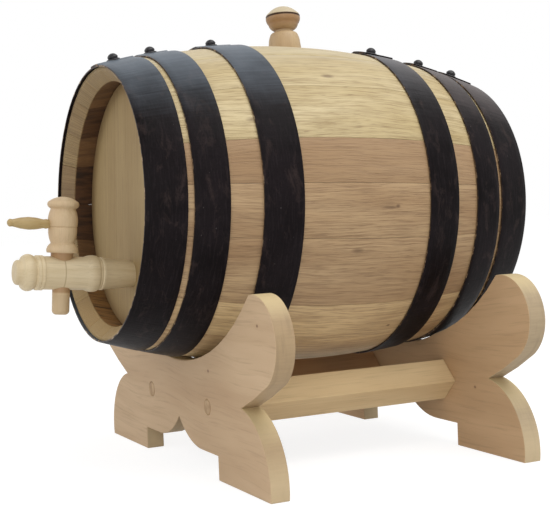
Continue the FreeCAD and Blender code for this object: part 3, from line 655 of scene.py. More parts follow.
def tapFinish():
    finish, spot, y, z, close = turnedFinish("tapWood", "tap", "Y", tapPlace)
    # The far taper darkens where it meets the head, and a line is scribed at the key's axis.
    return close((finish.ramp(y, 0.028, 0.045) * 0.35, turned["tapTaper"]),
                 (finish.ramp(y, -0.022, -0.028) * 0.5, turned["tapNose"]),
                 (finish.ramp(abs(y), 0.0002, 0.0005, 1.0, 0.0) * 0.55, turned["scribe"]))


def keyFinish():
    finish, spot, y, z, close = turnedFinish("keyWood", "key", "Z", tapPlace)
    plug = finish.ramp(z, 0.0121, 0.0125, 1.0, 0.0) * finish.ramp(z, -0.0125, -0.0115)
    return close((plug * 0.7, turned["keyPlug"]),
                 (finish.ramp(z, -0.0115, -0.0135) * 0.5, turned["spout"]))


def pegFinish():
    return turnedFinish("pegWood", "peg", "Y", tapPlace, 0.3)[-1]()


def bungFinish():
    finish, spot, y, z, close = turnedFinish("bungWood", "bung", "Z", bungPlace)
    burntAt = 0.0244
    line = finish.ramp(abs(z - burntAt), 0.0005, 0.0010, 1.0, 0.0)
    ragged = finish.noise(spot, 260.0, 2.0, 0.6)
    bowl = finish.ramp(z, 0.0142, 0.0192) * finish.ramp(z, 0.0238, 0.0242, 1.0, 0.0)
    return close((bowl * 0.7, turned["bowl"]),
                 (finish.ramp(z, 0.0246, 0.0252) * 0.8, turned["dome"]),
                 (finish.ramp(z, 0.0004, -0.0004) * 0.6, turned["bungPlug"]),
                 (line * finish.ramp(ragged, 0.2, 0.5, 0.75, 1.0), turned["burnt"]))


plank = paints(
    front=(198, 170, 136), frontDeep=(174, 143, 109), frontCut=(167, 142, 108),
    rear=(206, 173, 134), rearDeep=(180, 146, 108), rearCut=(171, 151, 121),
    rail=(216, 190, 146), railDeep=(190, 160, 116),
    # The left rail's colours are painted shade: the rail wood darkened and reddened as in warm
    # shadow.
    leftRail=(200, 160, 120), leftRailDeep=(170, 126, 90),
    knot=(104, 70, 46), lobeTop=(208, 187, 142), footCut=(208, 187, 150),
    dowel=(186, 157, 121), dowelDeep=(160, 130, 96), dowelCell=(130, 100, 70),
)


def boardFinish(name, shade, grain, knotSpots=()):
    # Planed softwood; grain is the way the fibres run. Sawn edges show wavy growth lines.
    finish = Finish(name, roughness=0.68)
    ramp, noise = finish.ramp, finish.noise
    spot = finish.object
    x, y, z = finish.split(spot)
    deep = plank[shade + "Deep"]
    wood, spread = spot, (150, 6, 150)
    if grain == "X":
        sweep = noise((x * 9, y * 14, z * 11), 1.0, 1.0) - 0.5
        wood, spread = finish.join(x, y, z + sweep * 0.02), (6, 150, 150)
    cloud = noise(wood, [part * 0.17 + 4 for part in spread], 3.0, 0.6)
    rings = noise(wood, spread, 3.0, 0.6, 0.4)
    fine = noise(wood, [part * 5 for part in spread], 2.0, 0.6)
    fuzz = noise(spot, 900.0, 2.0, 0.6)
    sawMarks = noise(spot, (700, 60, 700), 2.0, 0.6)
    base = finish.stain(
        plank[shade], (ramp(cloud, 0.36, 0.68) * 0.8, deep),
        (ramp(rings, 0.5, 0.7) * 0.3, deep),
        (ramp(fine, 0.54, 0.72) * 0.3, dimmed(deep, 0.66)))
    for across, up, size in knotSpots:
        far = finish.farFrom(spot, (across, 0.0, up), (size, 1000.0, size * 0.8))
        far = far + (fuzz - 0.5) * 0.5
        base = finish.stain(base, (ramp(far, 0.9, 2.4, 0.4, 0.0), deep),
                            (ramp(far, 0.6, 1.2, 0.8, 0.0), plank["knot"]))
    marks = sawMarks * 0.1
    if grain == "X":
        facing = finish.facing()
        cut = plank[shade + "Cut"]
        sawn = ramp(abs(facing[1]), 0.35, 0.75, 1.0, 0.0)
        growth = noise((x * 20, y * 260, z * 40), 1.0, 2.0, 0.5, 0.4)
        # Sawn edges that face up are lighter and yellower, painted light from above; the feet's
        # sawn edges near the floor are paler.
        edge = finish.stain(
            cut, (ramp(sawMarks, 0.4, 0.7) * 0.4, dimmed(cut, 0.78)),
            (ramp(growth, 0.5, 0.64) * 0.35, dimmed(cut, 0.66)),
            (ramp(facing[2], 0.5, 0.9) * 0.8, plank["lobeTop"]),
            (ramp(z, 0.03, 0.01) * 0.6, plank["footCut"]))
        base = finish.mix(sawn, base, edge)
        marks = sawMarks * sawn * 0.4
    finish.feed("Roughness", ramp(fuzz, 0.3, 0.7, 0.62, 0.74))
    return finish.done(base, rings * 0.5 + fine * 0.35 + fuzz * 0.2 + marks, 0.4, 0.0004)


def dowelFinish():
    finish = Finish("dowelEnd", roughness=0.7)
    cells = finish.noise(finish.object, 700.0, 3.0, 0.7)
    rings = finish.noise(finish.object, (260, 5, 90))
    base = finish.stain(plank["dowel"], (finish.ramp(rings, 0.4, 0.65), plank["dowelDeep"]),
                        (finish.ramp(cells, 0.5, 0.7) * 0.3, plank["dowelCell"]))
    return finish.done(base, cells, 0.35, 0.0003)


stavesOak = staveFinish()
seamShade = cloudedFinish(Finish("seamShade", roughness=0.8), 180.0, (0.35, 0.7), oak["seam"],
                          oak["seamDeep"], 0.0002)
headOak = headFinish()
hoopSteel = hoopFinish()
hoopSheared = hoopEdgeFinish()
rivetSteel = cloudedFinish(Finish("rivetSteel", roughness=0.34, Specular_IOR_Level=0.35), 300.0,
                           (0.4, 0.7), steel["rivet"], steel["rivetGrey"], 0.0004, (0.26, 0.44))
tapWood = tapFinish()
keyWood = keyFinish()
pegWood = pegFinish()
bungWood = bungFinish()
# Knots of the boards: across, height, size.
frontPlank = boardFinish("frontPlank", "front", "X", [(123.0, 97.3, 1.1), (51.2, 65.0, 1.2)])
rearPlank = boardFinish("rearPlank", "rear", "X", [(82.2, 41.1, 1.1)])
railWood = boardFinish("railWood", "rail", "Y")
# The left rail's wood is darker and redder than the right one's: painted shade for the warm shadow
# under the cask.
leftRailWood = boardFinish("leftRailWood", "leftRail", "Y")
dowelWood = dowelFinish()
print("finishes ready")


# Staves

staves = {
    "widths": [21, 22.5, 21, 21.5, 15.5, 18.5, 25, 18, 17.5, 17, 18, 21, 19, 15, 18, 19, 16, 19.5,
               17],
    # 0 is yellow, 0.5 the duller low staves, lightened with painted fill light from below, and 1
    # the tan ones.
    "tones": [0.05, 0.0, 0.05, 0.05, 1.12, 0.9, 0.9, 0.5, 0.5, 0.35, 0.2, 0.9, 0.3, 0.1,
              0.95, 0.8, 0.1, 0.7, 0.0],
    "seamWidth": 0.30,
    "edgeWidth": 0.45,
    "gap": 0.05,
}


def spaced(start, end, count):
    return [start + (end - start) * index / count for index in range(count + 1)]


def staveSection():
    # The outside from front to rear, and then the rear chime, the wall and the front chime.
    tongue, mouth, floor = croze["at"], croze["mouth"], croze["floor"]
    groove = innerRadius(tongue) + croze["depth"]
    bevelAt, wallEnd = half - cask["bevelLength"], cask["wallEnd"]
    chime = [(half, cask["endRadius"] - cask["rimWidth"]), (bevelAt, innerRadius(bevelAt)),
             (wallEnd, innerRadius(wallEnd)), (tongue + mouth, innerRadius(tongue + mouth)),
             (tongue + floor, groove), (tongue - floor, groove)]
    outside = [(at, woodRadius(at)) for at in spaced(-half, half, 26)]
    wall = [(at, innerRadius(at)) for at in spaced(tongue - mouth, mouth - tongue, 16)]
    return outside + chime + wall + [(-at, up) for at, up in reversed(chime)]


def makeStaves():
    section = drawWire("staveSection", staveSection())
    bpy.ops.mesh.edge_face_add()
    enter("OBJECT")
    total = sum(staves["widths"])
    middle = 0.0
    for index, width in enumerate(staves["widths"]):
        if index:
            middle += (staves["widths"][index - 1] + width) / 2
        node = "stave_%02d" % (index + 1)
        stave = copyPiece(section, "oakStave_%02d" % (index + 1))
        sweep = 360 * width / total - staves["gap"]
        place(stave, turnedBy(-sweep / 2))
        enter("EDIT")
        selectAll()
        spin(max(3, round(width / 4)), -sweep)
        tidyShell()
        # Only the two joint faces have the section's whole outline.
        selectFaces(stave, lambda face: len(face.vertices) > 8)
        seamEdges(staves["seamWidth"])
        softenEdges(stave, staves["edgeWidth"], angle=50)
        turn = 360 * middle / total + cask["bungTurn"]
        if index == 0:
            boreBung(stave)
        place(stave, caskPlace @ turnedBy(turn))
        note(stave, "staveTone", staves["tones"][index])
        note(stave, "staveSeed", 0.37 * index)
        finishPiece(stave, "cask", node, [stavesOak, seamShade])
    bpy.data.objects.remove(section)


bung = {
    "height": 31.6,
    "plug": 9.2,
    "taper": 0.08,            # loss of radius for each millimetre of depth
    "depth": 13.0,
    "fit": 0.12,
    "skirt": 11.4,
    "skirtHeight": 13.6,
    "neck": 5.9,
    "rim": 11.7,
}


def plugRadius(below):
    return bung["plug"] - bung["taper"] * below


def boreBung(stave):
    below = cask["staveThick"] + past
    bore(stave, "Z", (-below, plugRadius(below) + bung["fit"]),
         (past, plugRadius(-past) + bung["fit"]), bungSeat)


makeStaves()
print("staves done")


# Heads

head = {
    "faceAt": 110.0,
    "thick": 12.0,
    "middleWidth": 58.0,
    "faceRings": (30, 58),    # corners that keep the face's mesh even
    "bevel": 0.6,
    "fit": 0.10,
    "seam": 0.22,
}

tap = {
    "keyOut": 45.2,
    "radius": 10.2,
    "nose": 29.4,
    "button": 7.6,
    "bead": 11.2,
    "collar": 11.5,
    "collarAt": 18.4,
    "taperAt": 26.4,
    "taperRadius": 9.8,
    "headRadius": 8.1,
    "tail": 8.0,
    "fit": 0.08,
    "bore": 3.2,
}


def taperRadius(distance):
    slope = (tap["taperRadius"] - tap["headRadius"]) / (tap["keyOut"] - tap["taperAt"])
    return tap["headRadius"] - slope * (distance - tap["keyOut"])


def headProfile():
    face, fit, bevel = head["faceAt"], head["fit"], head["bevel"]
    mouth, floor = croze["mouth"], croze["floor"]
    tongue, back = face - head["thick"] / 2, face - head["thick"]
    groove = innerRadius(tongue) + croze["depth"] - fit
    lip = innerRadius(tongue + mouth) - fit
    rim = innerRadius(face) - fit
    return [(face, 0)] + [(face, ring) for ring in head["faceRings"]] + [
        (face, rim - bevel), (face - bevel, rim), (tongue + mouth, lip),
        (tongue + floor, groove), (tongue - floor, groove), (tongue - mouth, lip),
        (back + bevel, rim), (back, rim - bevel), (back, 0)]


def makeHead(end):
    whole = lathe("head", headProfile(), "Y", 144)
    if end == "front":
        place(whole, Matrix.Rotation(pi, 4, "Z"))
    edge = head["middleWidth"] / 2 * mm
    for index, side in enumerate(("left", "middle", "right")):
        node = "%s_head_%s" % (end, side)
        board = copyPiece(whole, "headBoard_%s_%s" % (end, side))
        low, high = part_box(node)
        for sign, limit in ((-1, low.x), (1, high.x)):
            if abs(limit) > 2 * edge:
                continue
            takeUp(board)
            enter("EDIT")
            selectAll()
            bpy.ops.mesh.bisect(plane_co=(limit, 0, 0), plane_no=(sign, 0, 0), use_fill=True,
                                clear_outer=True)
            selectAll()
            bpy.ops.mesh.normals_make_consistent(inside=False)
            enter("OBJECT")
        # Only the joint faces are upright and this large, in square metres.
        selectFaces(board, lambda face: abs(face.normal.x) > 0.999 and face.area > 0.0003)
        seamEdges(head["seam"])
        if end == "front" and side == "middle":
            boreHead(board)
        place(board, caskPlace)
        note(board, "staveSeed", 0.53 * index + (0.2 if end == "front" else 1.7))
        finishPiece(board, "cask", node, [headOak, seamShade], smooth=20)
    bpy.data.objects.remove(whole)


def boreHead(board):
    out, inside = tap["keyOut"] - past, tap["keyOut"] + head["thick"] + past
    bore(board, "Y", (out, taperRadius(out) + tap["fit"]),
         (inside, taperRadius(inside) + tap["fit"]), caskPlace.inverted() @ tapPlace)


makeHead("front")
makeHead("rear")
print("heads done")


# Hoops and rivets

hoops = {
    # name: middle of the strip along the cask, width, turn of the lap
    "front_chime": (-120.2, 23.6, 0.0),
    "front_quarter": (-94.6, 20.4, -2.0),
    "front_bilge": (-52.6, 24.6, -2.0),
    "rear_bilge": (58.2, 22.6, 7.0),
    "rear_quarter": (95.3, 19.6, 8.0),
    "rear_chime": (119.4, 23.6, 11.0),
}
strip = {
    "thick": 1.2,
    "fit": 0.05,
    "lap": 12.0,
    "lapThick": 1.0,
    "crown": 0.12,            # the strip's edges are thinner by this
    "bulge": 0.108,           # rise of the outside between its edges
    "lapSink": 0.05,          # the lap's underside in the strip below it
    "edge": 0.3,
}
rivet = {
    "headRadius": 3.3,
    "headHeight": 4.0,
    "footRadius": 4.4,
    "footHeight": 0.5,
}


def hoopRadius(name, side):
    at, width, turn = hoops[name]
    return woodRadius(at + side * width / 2) + width ** 2 / (8 * arcRadius) + strip["fit"]


def makeHoop(name):
    at, width, turn = hoops[name]
    first, last = at - width / 2, at + width / 2
    low, high = hoopRadius(name, -1), hoopRadius(name, 1)
    thick, crown, bulge = strip["thick"], strip["crown"], strip["bulge"]

    def band(lift, top):
        return [(first, low + lift), (last, high + lift), (last, high + top)] + [
            (last + (first - last) * share,
             high + top + (low - high) * share + bulge * 4 * share * (1 - share))
            for share in (0.2, 0.4, 0.6, 0.8)] + [(first, low + top)]

    rows = band(0.0, thick - crown)
    ring = drawWire("hoopStrip_" + name, rows + rows[:1])
    spin(144)
    tidyShell()
    rows = band(thick - crown - strip["lapSink"], thick - crown + strip["lapThick"])
    sweep = strip["lap"]
    lap = drawWire("hoopLap_" + name, rows)
    bpy.ops.mesh.edge_face_add()
    spin(6, -sweep)
    tidyShell()
    place(lap, turnedBy(-sweep / 2))
    # One end of the lap is beaten down flush: on the right at the front, on the left behind.
    side = 1 if at < 0 else -1
    reach = 0.8 * high * mm * sin(radians(sweep / 2))
    selectFaces(lap, lambda face: side * face.center.x > reach)
    flush = 1 - strip["lapThick"] / high
    bpy.ops.transform.resize(value=(flush, 1, flush), center_override=(0, 0, 0))
    enter("OBJECT")
    takeUp(ring)
    lap.select_set(True)
    bpy.ops.object.join()
    softenEdges(ring, strip["edge"], angle=60)
    # Sheared sides of the strip show a second finish.
    selectFaces(ring, lambda face: abs(face.normal.y) > 0.8)
    for material in (hoopSteel, hoopSheared):
        ring.data.materials.append(material)
    ring.active_material_index = 1
    bpy.ops.object.material_slot_assign()
    enter("OBJECT")
    place(ring, caskPlace @ turnedBy(turn))
    # The finishing step clears the finishes, so the faces' choice is kept and given back.
    faces = [face.material_index for face in ring.data.polygons]
    finishPiece(ring, "cask", "hoop_" + name, [hoopSteel, hoopSheared])
    ring.data.polygons.foreach_set("material_index", faces)


def makeRivet(name):
    at, width, turn = hoops[name]
    radius = (hoopRadius(name, -1) + hoopRadius(name, 1)) / 2 + 2 * strip["thick"]
    slope = atan2(hoopRadius(name, 1) - hoopRadius(name, -1), width)
    size, height, foot = rivet["headRadius"], rivet["headHeight"], rivet["footRadius"]
    steps = [(0, -0.6), (foot, -0.6), (foot, -0.05), (size + 0.25, rivet["footHeight"], -0.12),
             (size - 0.2, rivet["footHeight"] + 0.25), (size, height * 0.36),
             (size * 0.93, height * 0.58, -0.08),
             (0, height, -domeRise(size * 0.93, height * 0.42))]
    head3d = lathe("rivetHead_" + name, outline(steps, 9), "Z", 40)
    seat = Matrix.Translation(Vector((0, at, radius)) * mm) @ Matrix.Rotation(slope, 4, "X")
    place(head3d, caskPlace @ turnedBy(turn) @ seat)
    finishPiece(head3d, "cask", "rivet_" + name, [rivetSteel], 40)


for hoopName in hoops:
    makeHoop(hoopName)
    makeRivet(hoopName)
print("hoops and rivets done")


# Tap, key, peg and bung

key = {
    "radius": 6.15,
    "taper": 0.066,
    "fit": 0.06,
    "top": 46.8,
    "cap": 9.7,
    "neck": 7.6,
    "belly": 8.9,
    "waist": 7.1,
    "collar": 9.6,
    "collarAt": 12.4,
    "spout": 5.4,
    "spoutDrop": 25.3,
    "spoutBore": 2.6,
    "pegAt": 29.8,
}
peg = {
    "reach": 34.4,
    "shank": 2.6,
    "bulge": 3.9,
    "seat": 3.0,
    "holeEnd": 14.0,
    "fit": 0.05,
}


def keyRadius(height):
    return key["radius"] + key["taper"] * height


def makeTap():
    nose, radius = -tap["nose"], tap["radius"]
    collarAt, taperAt, wide = tap["collarAt"], tap["taperAt"], tap["taperRadius"]
    tail = tap["keyOut"] + head["thick"] + tap["tail"]
    steps = [
        (nose, 0), (nose, tap["button"] - 2.4), (nose + 1.8, tap["button"], 0.6),
        (nose + 2.9, tap["button"]), (nose + 4.6, tap["bead"] - 1.4, -0.4),
        (nose + 11.6, tap["bead"] - 1.2, 1.4), (nose + 12.2, radius - 0.6),
        (nose + 13.0, radius + 0.5), (nose + 14.7, radius + 0.5), (nose + 15.0, radius + 0.15),
        (nose + 15.3, radius + 0.5), (nose + 17.0, radius + 0.5), (nose + 17.5, radius),
        (collarAt - 4.6, radius), (collarAt + 3.2, tap["collar"] - 0.5, 0.75),
        (collarAt + 3.8, wide + 0.4), (taperAt - 2.8, wide + 0.4), (taperAt - 2.4, wide),
        (taperAt - 2.0, wide + 0.4), (taperAt - 0.8, wide + 0.4), (taperAt, wide),
        (taperAt + 9, taperRadius(taperAt + 9)), (tap["keyOut"], tap["headRadius"]),
        (tail, taperRadius(tail)), (tail, tap["bore"]), (tail - 14, tap["bore"]),
        (tail - 14, 0),
    ]
    body = lathe("tapBarrel", outline(steps, 10), "Y", 96, 0.12)
    low, high = -(radius + 3), radius + 3
    bore(body, "Z", (low, keyRadius(low) + key["fit"]), (high, keyRadius(high) + key["fit"]),
         Matrix())
    place(body, tapPlace)
    finishPiece(body, "cask", "tap_body", [tapWood])


def makeKey():
    top, cap, collarAt, pegAt = key["top"], key["cap"], key["collarAt"], key["pegAt"]
    plugEnd = -(tap["radius"] + 0.4)
    steps = [
        (0, plugEnd), (key["spoutBore"], plugEnd), (key["spoutBore"], -key["spoutDrop"]),
        (key["spout"] - 1.8, -key["spoutDrop"]),
        (key["spout"] - 0.1, 3.0 - key["spoutDrop"], -0.6), (key["spout"], plugEnd - 0.6),
        (keyRadius(plugEnd), plugEnd), (keyRadius(collarAt), collarAt),
        (key["collar"] - 0.4, collarAt), (key["collar"], collarAt + 1.0),
        (key["collar"], collarAt + 1.9), (key["waist"] + 0.8, collarAt + 5.1, -0.35),
        (key["waist"], collarAt + 5.9), (key["belly"] - 0.1, pegAt - 2.0, -0.6),
        (key["belly"] - 0.5, pegAt - 1.7), (key["belly"], pegAt - 1.3),
        (key["neck"], top - 7.6, -0.8), (cap - 1.0, top - 6.8),
        (cap - 1.0, top - 2.9, -1.0), (0, top, -domeRise(cap - 1.0, 2.9)),
    ]
    handle = lathe("tapHandle", outline(steps, 9), "Z", 96, 0.1)
    hole = peg["shank"] + peg["fit"]
    bore(handle, "Y", (peg["seat"], hole), (-peg["holeEnd"], hole),
         Matrix.Translation((0, 0, pegAt * mm)), 48)
    place(handle, tapPlace)
    finishPiece(handle, "key", "tap_key", [keyWood])


def makePeg():
    root = -(key["belly"] + 0.3)
    shank, reach = peg["shank"], peg["reach"]
    steps = [
        (peg["seat"] - 0.2, 0), (peg["seat"] - 0.2, shank), (root, shank),
        (root - 1.2, shank + 0.4), (root - 3.0, shank + 0.1),
        (-reach * 0.62, peg["bulge"], -0.3), (-reach + 3.2, shank - 0.4, -0.3),
        (-reach + 1.6, shank - 0.2), (-reach, 0, -domeRise(shank - 0.2, 1.6)),
    ]
    handle = lathe("tapPegTurned", outline(steps, 9), "Y", 48)
    place(handle, tapPlace @ Matrix.Translation((0, 0, key["pegAt"] * mm)))
    finishPiece(handle, "key", "tap_peg", [pegWood])


def makeBung():
    skirt, high, rim, top = bung["skirt"], bung["skirtHeight"], bung["rim"], bung["height"]
    depth = bung["depth"]
    steps = [
        (0, -depth), (plugRadius(depth) - 0.8, -depth), (plugRadius(depth - 0.8), 0.8 - depth),
        (plugRadius(-0.3), 0.3), (skirt, 0.3), (skirt - 0.7, high * 0.45),
        (skirt - 1.8, high - 2.2, -0.25), (bung["neck"], high - 0.4, -1.0),
        (bung["neck"], high + 1.5),
        (rim - 1.6, top - 12.0, -0.9), (rim - 0.1, top - 7.6, -0.5), (rim - 0.7, top - 7.2),
        (rim - 0.1, top - 6.8), (rim - 1.7, top - 4.6, -0.3),
        (0, top, -domeRise(rim - 1.7, 4.6)),
    ]
    stopper = lathe("bungStopper", outline(steps, 8), "Z", 96, 0.1)
    place(stopper, bungPlace)
    finishPiece(stopper, "bung", "bung", [bungWood])


makeTap()
makeKey()
makePeg()
makeBung()
print("tap and bung done")


# Stand

stand = {
    "axisHeight": 163.5,
    "thick": 12.0,
    "cradleRadius": {"front_board": 160.0, "rear_board": 143.0},
    "hugAcross": 38.0,        # the rear cradle hugs its hoop this far to each side
    "hugRadius": 98.0,
    "hugBow": 5.8,
    "lobeAcross": {"front_board": 118.6, "rear_board": 113.6},
    "lobeDrop": 75.8,
    "lobeRadius": 26.8,
    "lobeStart": 30.0,        # degrees under the level
    "lobeKnee": (14.0, -23.0),
    "kneeBow": 0.8,
    "lobeBow": 0.65,
    "notch": (96.8, 48.2),
    "footOuter": 131.2,
    "footInner": 60.6,
    "legRadius": 42.5,
    "archHeight": 14.7,
    "scallopAcross": 36.0,
    "cuspHeight": 30.7,
    "railSide": 19.0,
    "railAcross": 47.5,
    "railHeight": 42.6,
    "dowelRadius": 4.8,
    "dowelFit": 0.05,
    "borer": 30.0,            # half length of the dowel holes' cutter
    "clear": 0.3,             # between the cask and its cradles
    "edge": 0.6,
    "railEdge": 0.7,
}


def cradleDepth(node):
    # Depth of the cradle under the cask's axis: the front one clears the wood, and the rear one
    # its hoop.
    low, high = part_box(node)
    front = node == "front_board"
    face = ((high.y if front else low.y) - caskMiddle.y) / mm
    hoop = 0 if front else strip["thick"] + strip["fit"]
    at = (face + (woodRadius(face) + hoop) * sin(lean)) / cos(lean)
    return (woodRadius(at) + hoop) / cos(lean) + face * tan(lean) + stand["clear"]


def cradleEnd(node):
    across, radius, lobe = (stand["lobeAcross"][node], stand["cradleRadius"][node],
                            stand["lobeRadius"])
    upward = radius - cradleDepth(node)
    fall = -stand["lobeDrop"] - upward
    span = hypot(across, fall)
    along = (radius ** 2 - lobe ** 2 + span ** 2) / (2 * span)
    aside = sqrt(radius ** 2 - along ** 2)
    return ((along * across - aside * fall) / span,
            upward + (along * fall + aside * across) / span)


def boardSteps(node):
    floor = -stand["axisHeight"]
    arch = stand["archHeight"] + floor
    cusp = (0, stand["cuspHeight"] + floor)
    scallop = (stand["scallopAcross"], arch)
    tall = stand["cuspHeight"] - stand["archHeight"]
    scallopRadius = (stand["scallopAcross"] ** 2 + tall ** 2) / (2 * tall)
    across, up = cradleEnd(node)
    lobeAt, lobeRadius = stand["lobeAcross"][node], stand["lobeRadius"]
    start = radians(stand["lobeStart"])
    lobe = (lobeAt + lobeRadius * cos(start), -stand["lobeDrop"] - lobeRadius * sin(start))
    knee = (lobeAt + stand["lobeKnee"][0], stand["lobeKnee"][1] - stand["lobeDrop"])
    side = (lobeAt + lobeRadius, -stand["lobeDrop"])
    notch = (stand["notch"][0], stand["notch"][1] + floor)
    foot = (stand["footOuter"], floor)
    # Right half from the cusp round to the cradle, each corner with the arc that ends there.
    right = [(*scallop, -rise(cusp, scallop, scallopRadius)), (stand["footInner"], arch),
             (stand["footInner"], floor), foot,
             (*notch, -rise(foot, notch, stand["legRadius"])), (*knee, -stand["lobeBow"]),
             (*lobe, -stand["kneeBow"]), (*side, -rise(lobe, side, lobeRadius)),
             (across, up, -rise(side, (across, up), lobeRadius))]
    radius = stand["cradleRadius"][node]
    if node == "rear_board":
        across, radius = stand["hugAcross"], stand["hugRadius"]
        up = radius - cradleDepth(node) - sqrt(radius ** 2 - across ** 2)
        right.append((across, up, stand["hugBow"]))
    # The left half is the right one backwards, with each arc on the corner it now ends at.
    arcs = [corner[2:] for corner in right[1:]] + [(rise((across, up), (-across, up), radius),)]
    left = [(-corner[0], corner[1], *arc) for corner, arc in zip(right, arcs)][::-1]
    return [cusp] + right + left + [(*cusp, -rise(scallop, cusp, scallopRadius))]


def railPoint(sign, at):
    return Vector((sign * stand["railAcross"] * mm, at, stand["railHeight"] * mm))


def makeBoard(node, wood):
    low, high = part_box(node)
    points = outline(boardSteps(node), 5)[:-1]
    lift = stand["axisHeight"]
    points = [Vector((x * mm, low.y, (y + lift) * mm)) for x, y in points]
    board = drawWire(node + "_sawn", points)
    bpy.ops.mesh.edge_face_add()
    bpy.ops.mesh.extrude_region_move(TRANSFORM_OT_translate={"value": (0, high.y - low.y, 0)})
    tidyShell()
    hole, reach = stand["dowelRadius"] + stand["dowelFit"], stand["borer"]
    for side in (-1, 1):
        bore(board, "Y", (-reach, hole), (reach, hole),
             Matrix.Translation(railPoint(side, (low.y + high.y) / 2)), 48)
    softenEdges(board, stand["edge"], angle=50)
    finishPiece(board, "stand", node, [wood], smooth=20)


def makeRail(side, sign, wood):
    node = side + "_rail"
    low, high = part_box(node)
    clearSelection()
    bpy.ops.mesh.primitive_cube_add(size=1, location=(0, 0, 0))
    rail = bpy.context.object
    rail.name = side + "RailPlaned"
    width = stand["railSide"] * mm
    enter("EDIT")
    bpy.ops.transform.resize(value=(width, high.y - low.y, width))
    selectAll()
    bpy.ops.mesh.subdivide(number_cuts=5)
    enter("OBJECT")
    softenEdges(rail, stand["railEdge"], angle=50)
    middle = Matrix.Translation(railPoint(sign, (low.y + high.y) / 2))
    place(rail, middle @ Matrix.Rotation(pi / 4, 4, "Y"))
    finishPiece(rail, "stand", node, [wood], smooth=20)


def makeDowel(side, sign, end):
    node = "dowel_%s_%s" % (end, side)
    low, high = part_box(node)
    radius = stand["dowelRadius"]
    length = (high.y - low.y) / mm
    steps = [(0, 0), (0, radius - 0.5), (0.5, radius), (length - 1.5, radius),
             (length, radius - 1.5), (length, 0)]
    pin = lathe("dowelPin_%s_%s" % (end, side), steps, "Y", 48)
    outer = low.y if end == "front" else high.y
    turn = 0 if end == "front" else pi
    place(pin, Matrix.Translation(railPoint(sign, outer)) @ Matrix.Rotation(turn, 4, "Z"))
    finishPiece(pin, "stand", node, [dowelWood])


makeBoard("front_board", frontPlank)
makeBoard("rear_board", rearPlank)
for side, sign, wood in (("left", -1, leftRailWood), ("right", 1, railWood)):
    makeRail(side, sign, wood)
    for end in ("front", "rear"):
        makeDowel(side, sign, end)
print("stand done")


# Camera, lamps and floor

camera = {
    "place": (0.730195, -0.370299, 0.00006),   # from the cask's middle
    "yaw": 63.772,
    "pitch": -2.335,
    "roll": -2.38,
    "lens": 80.27,
    "sensor": 36,
}
lamps = {
    # name: place, aim, size, watts, colour
    "above": ((0.55, 0.35, 1.35), (0.0, 0.0, 0.16), 1.2, 12.0, (1.0, 1.0, 0.99)),
    "front": ((1.6, -0.9, 0.5), (0.0, 0.0, 0.15), 1.2, 7.5, (1.0, 0.985, 0.96)),
    "left": ((-0.5, -1.6, 0.7), (0.0, 0.0, 0.15), 1.3, 6.0, (0.98, 0.99, 1.0)),
}
room = {
    "worldLevel": 0.55,
    "floorSize": 12,
    "floorHeight": -0.0002,
    "floorGlow": 0.84,
    "litFloor": (0.8, 0.8, 0.8, 1),
    "seenFloor": (0.3, 0.3, 0.3, 1),
}


def makeCamera():
    clearSelection()
    bpy.ops.object.camera_add()
    eye = bpy.context.object
    yaw, pitch, roll = (radians(camera[part]) for part in ("yaw", "pitch", "roll"))
    ahead = Vector((-sin(yaw) * cos(pitch), cos(yaw) * cos(pitch), sin(pitch)))
    level = Vector((cos(yaw), sin(yaw), 0))
    upright = level.cross(ahead)
    right = level * cos(roll) + upright * sin(roll)
    top = upright * cos(roll) - level * sin(roll)
    turn = Matrix((right, top, -ahead)).transposed().to_4x4()
    eye.matrix_world = Matrix.Translation(caskMiddle + Vector(camera["place"])) @ turn
    eye.data.lens = camera["lens"]
    eye.data.sensor_width = camera["sensor"]
    bpy.context.scene.camera = eye


def makeLamps():
    for name, (spot, aim, size, watts, colour) in lamps.items():
        clearSelection()
        bpy.ops.object.light_add(type="AREA", location=spot)
        lamp = bpy.context.object
        lamp.name = name + "Lamp"
        lamp.rotation_euler = (Vector(aim) - Vector(spot)).to_track_quat("-Z", "Y").to_euler()
        lamp.data.shape = "DISK"
        lamp.data.size = size
        lamp.data.energy = watts
        lamp.data.color = colour


def addNode(tree, kind, **values):
    made = tree.nodes.new(kind)
    for socket, value in values.items():
        made.inputs[socket].default_value = value
    return made.outputs[0] if made.outputs else made.inputs[0]


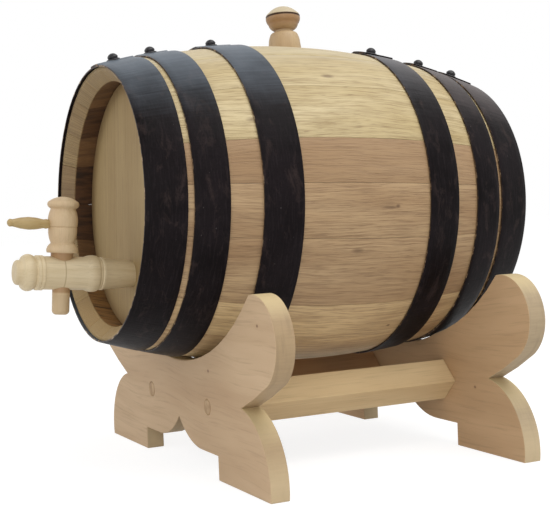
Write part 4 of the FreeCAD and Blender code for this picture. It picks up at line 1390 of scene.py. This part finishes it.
def seenDirectly(tree):
    # 1 where the camera, a mirror or glass looks at the surface.
    path = tree.nodes.new("ShaderNodeLightPath")
    total = path.outputs["Is Camera Ray"]
    for ray in ("Is Glossy Ray", "Is Transmission Ray"):
        summed = tree.nodes.new("ShaderNodeMath")
        summed.operation = "ADD"
        summed.use_clamp = True
        tree.links.new(total, summed.inputs[0])
        tree.links.new(path.outputs[ray], summed.inputs[1])
        total = summed.outputs[0]
    return total


def blendShaders(tree, kind, first, second, factor=None):
    # Mixes or adds two shaders.
    blend = tree.nodes.new(kind)
    wires = [first, second] if factor is None else [factor, first, second]
    for socket, wire in enumerate(wires):
        tree.links.new(wire, blend.inputs[socket])
    return blend.outputs[0]


def makeWorld():
    world = bpy.data.worlds.new("paleRoom")
    bpy.context.scene.world = world
    world.use_nodes = True
    tree = world.node_tree
    tree.nodes.clear()
    white = (1, 1, 1, 1)
    lit = addNode(tree, "ShaderNodeBackground", Color=white, Strength=room["worldLevel"])
    seen = addNode(tree, "ShaderNodeBackground", Color=white, Strength=1.0)
    shown = blendShaders(tree, "ShaderNodeMixShader", lit, seen, seenDirectly(tree))
    tree.links.new(shown, addNode(tree, "ShaderNodeOutputWorld"))


def makeFloor():
    clearSelection()
    bpy.ops.mesh.primitive_plane_add(size=room["floorSize"], location=(0, 0, room["floorHeight"]))
    floor = bpy.context.object
    floor.name = "paleFloor"
    finish = bpy.data.materials.new("palePaper")
    finish.use_nodes = True
    tree = finish.node_tree
    tree.nodes.clear()
    matt = addNode(tree, "ShaderNodeBsdfDiffuse", Color=room["litFloor"])
    dim = addNode(tree, "ShaderNodeBsdfDiffuse", Color=room["seenFloor"])
    glow = addNode(tree, "ShaderNodeEmission", Strength=room["floorGlow"])
    seen = blendShaders(tree, "ShaderNodeAddShader", dim, glow)
    shown = blendShaders(tree, "ShaderNodeMixShader", matt, seen, seenDirectly(tree))
    tree.links.new(shown, addNode(tree, "ShaderNodeOutputMaterial"))
    floor.data.materials.append(finish)


makeCamera()
makeLamps()
makeWorld()
makeFloor()
bpy.context.scene.view_settings.view_transform = "Standard"
clearSelection()

print("cask dispenser ready")
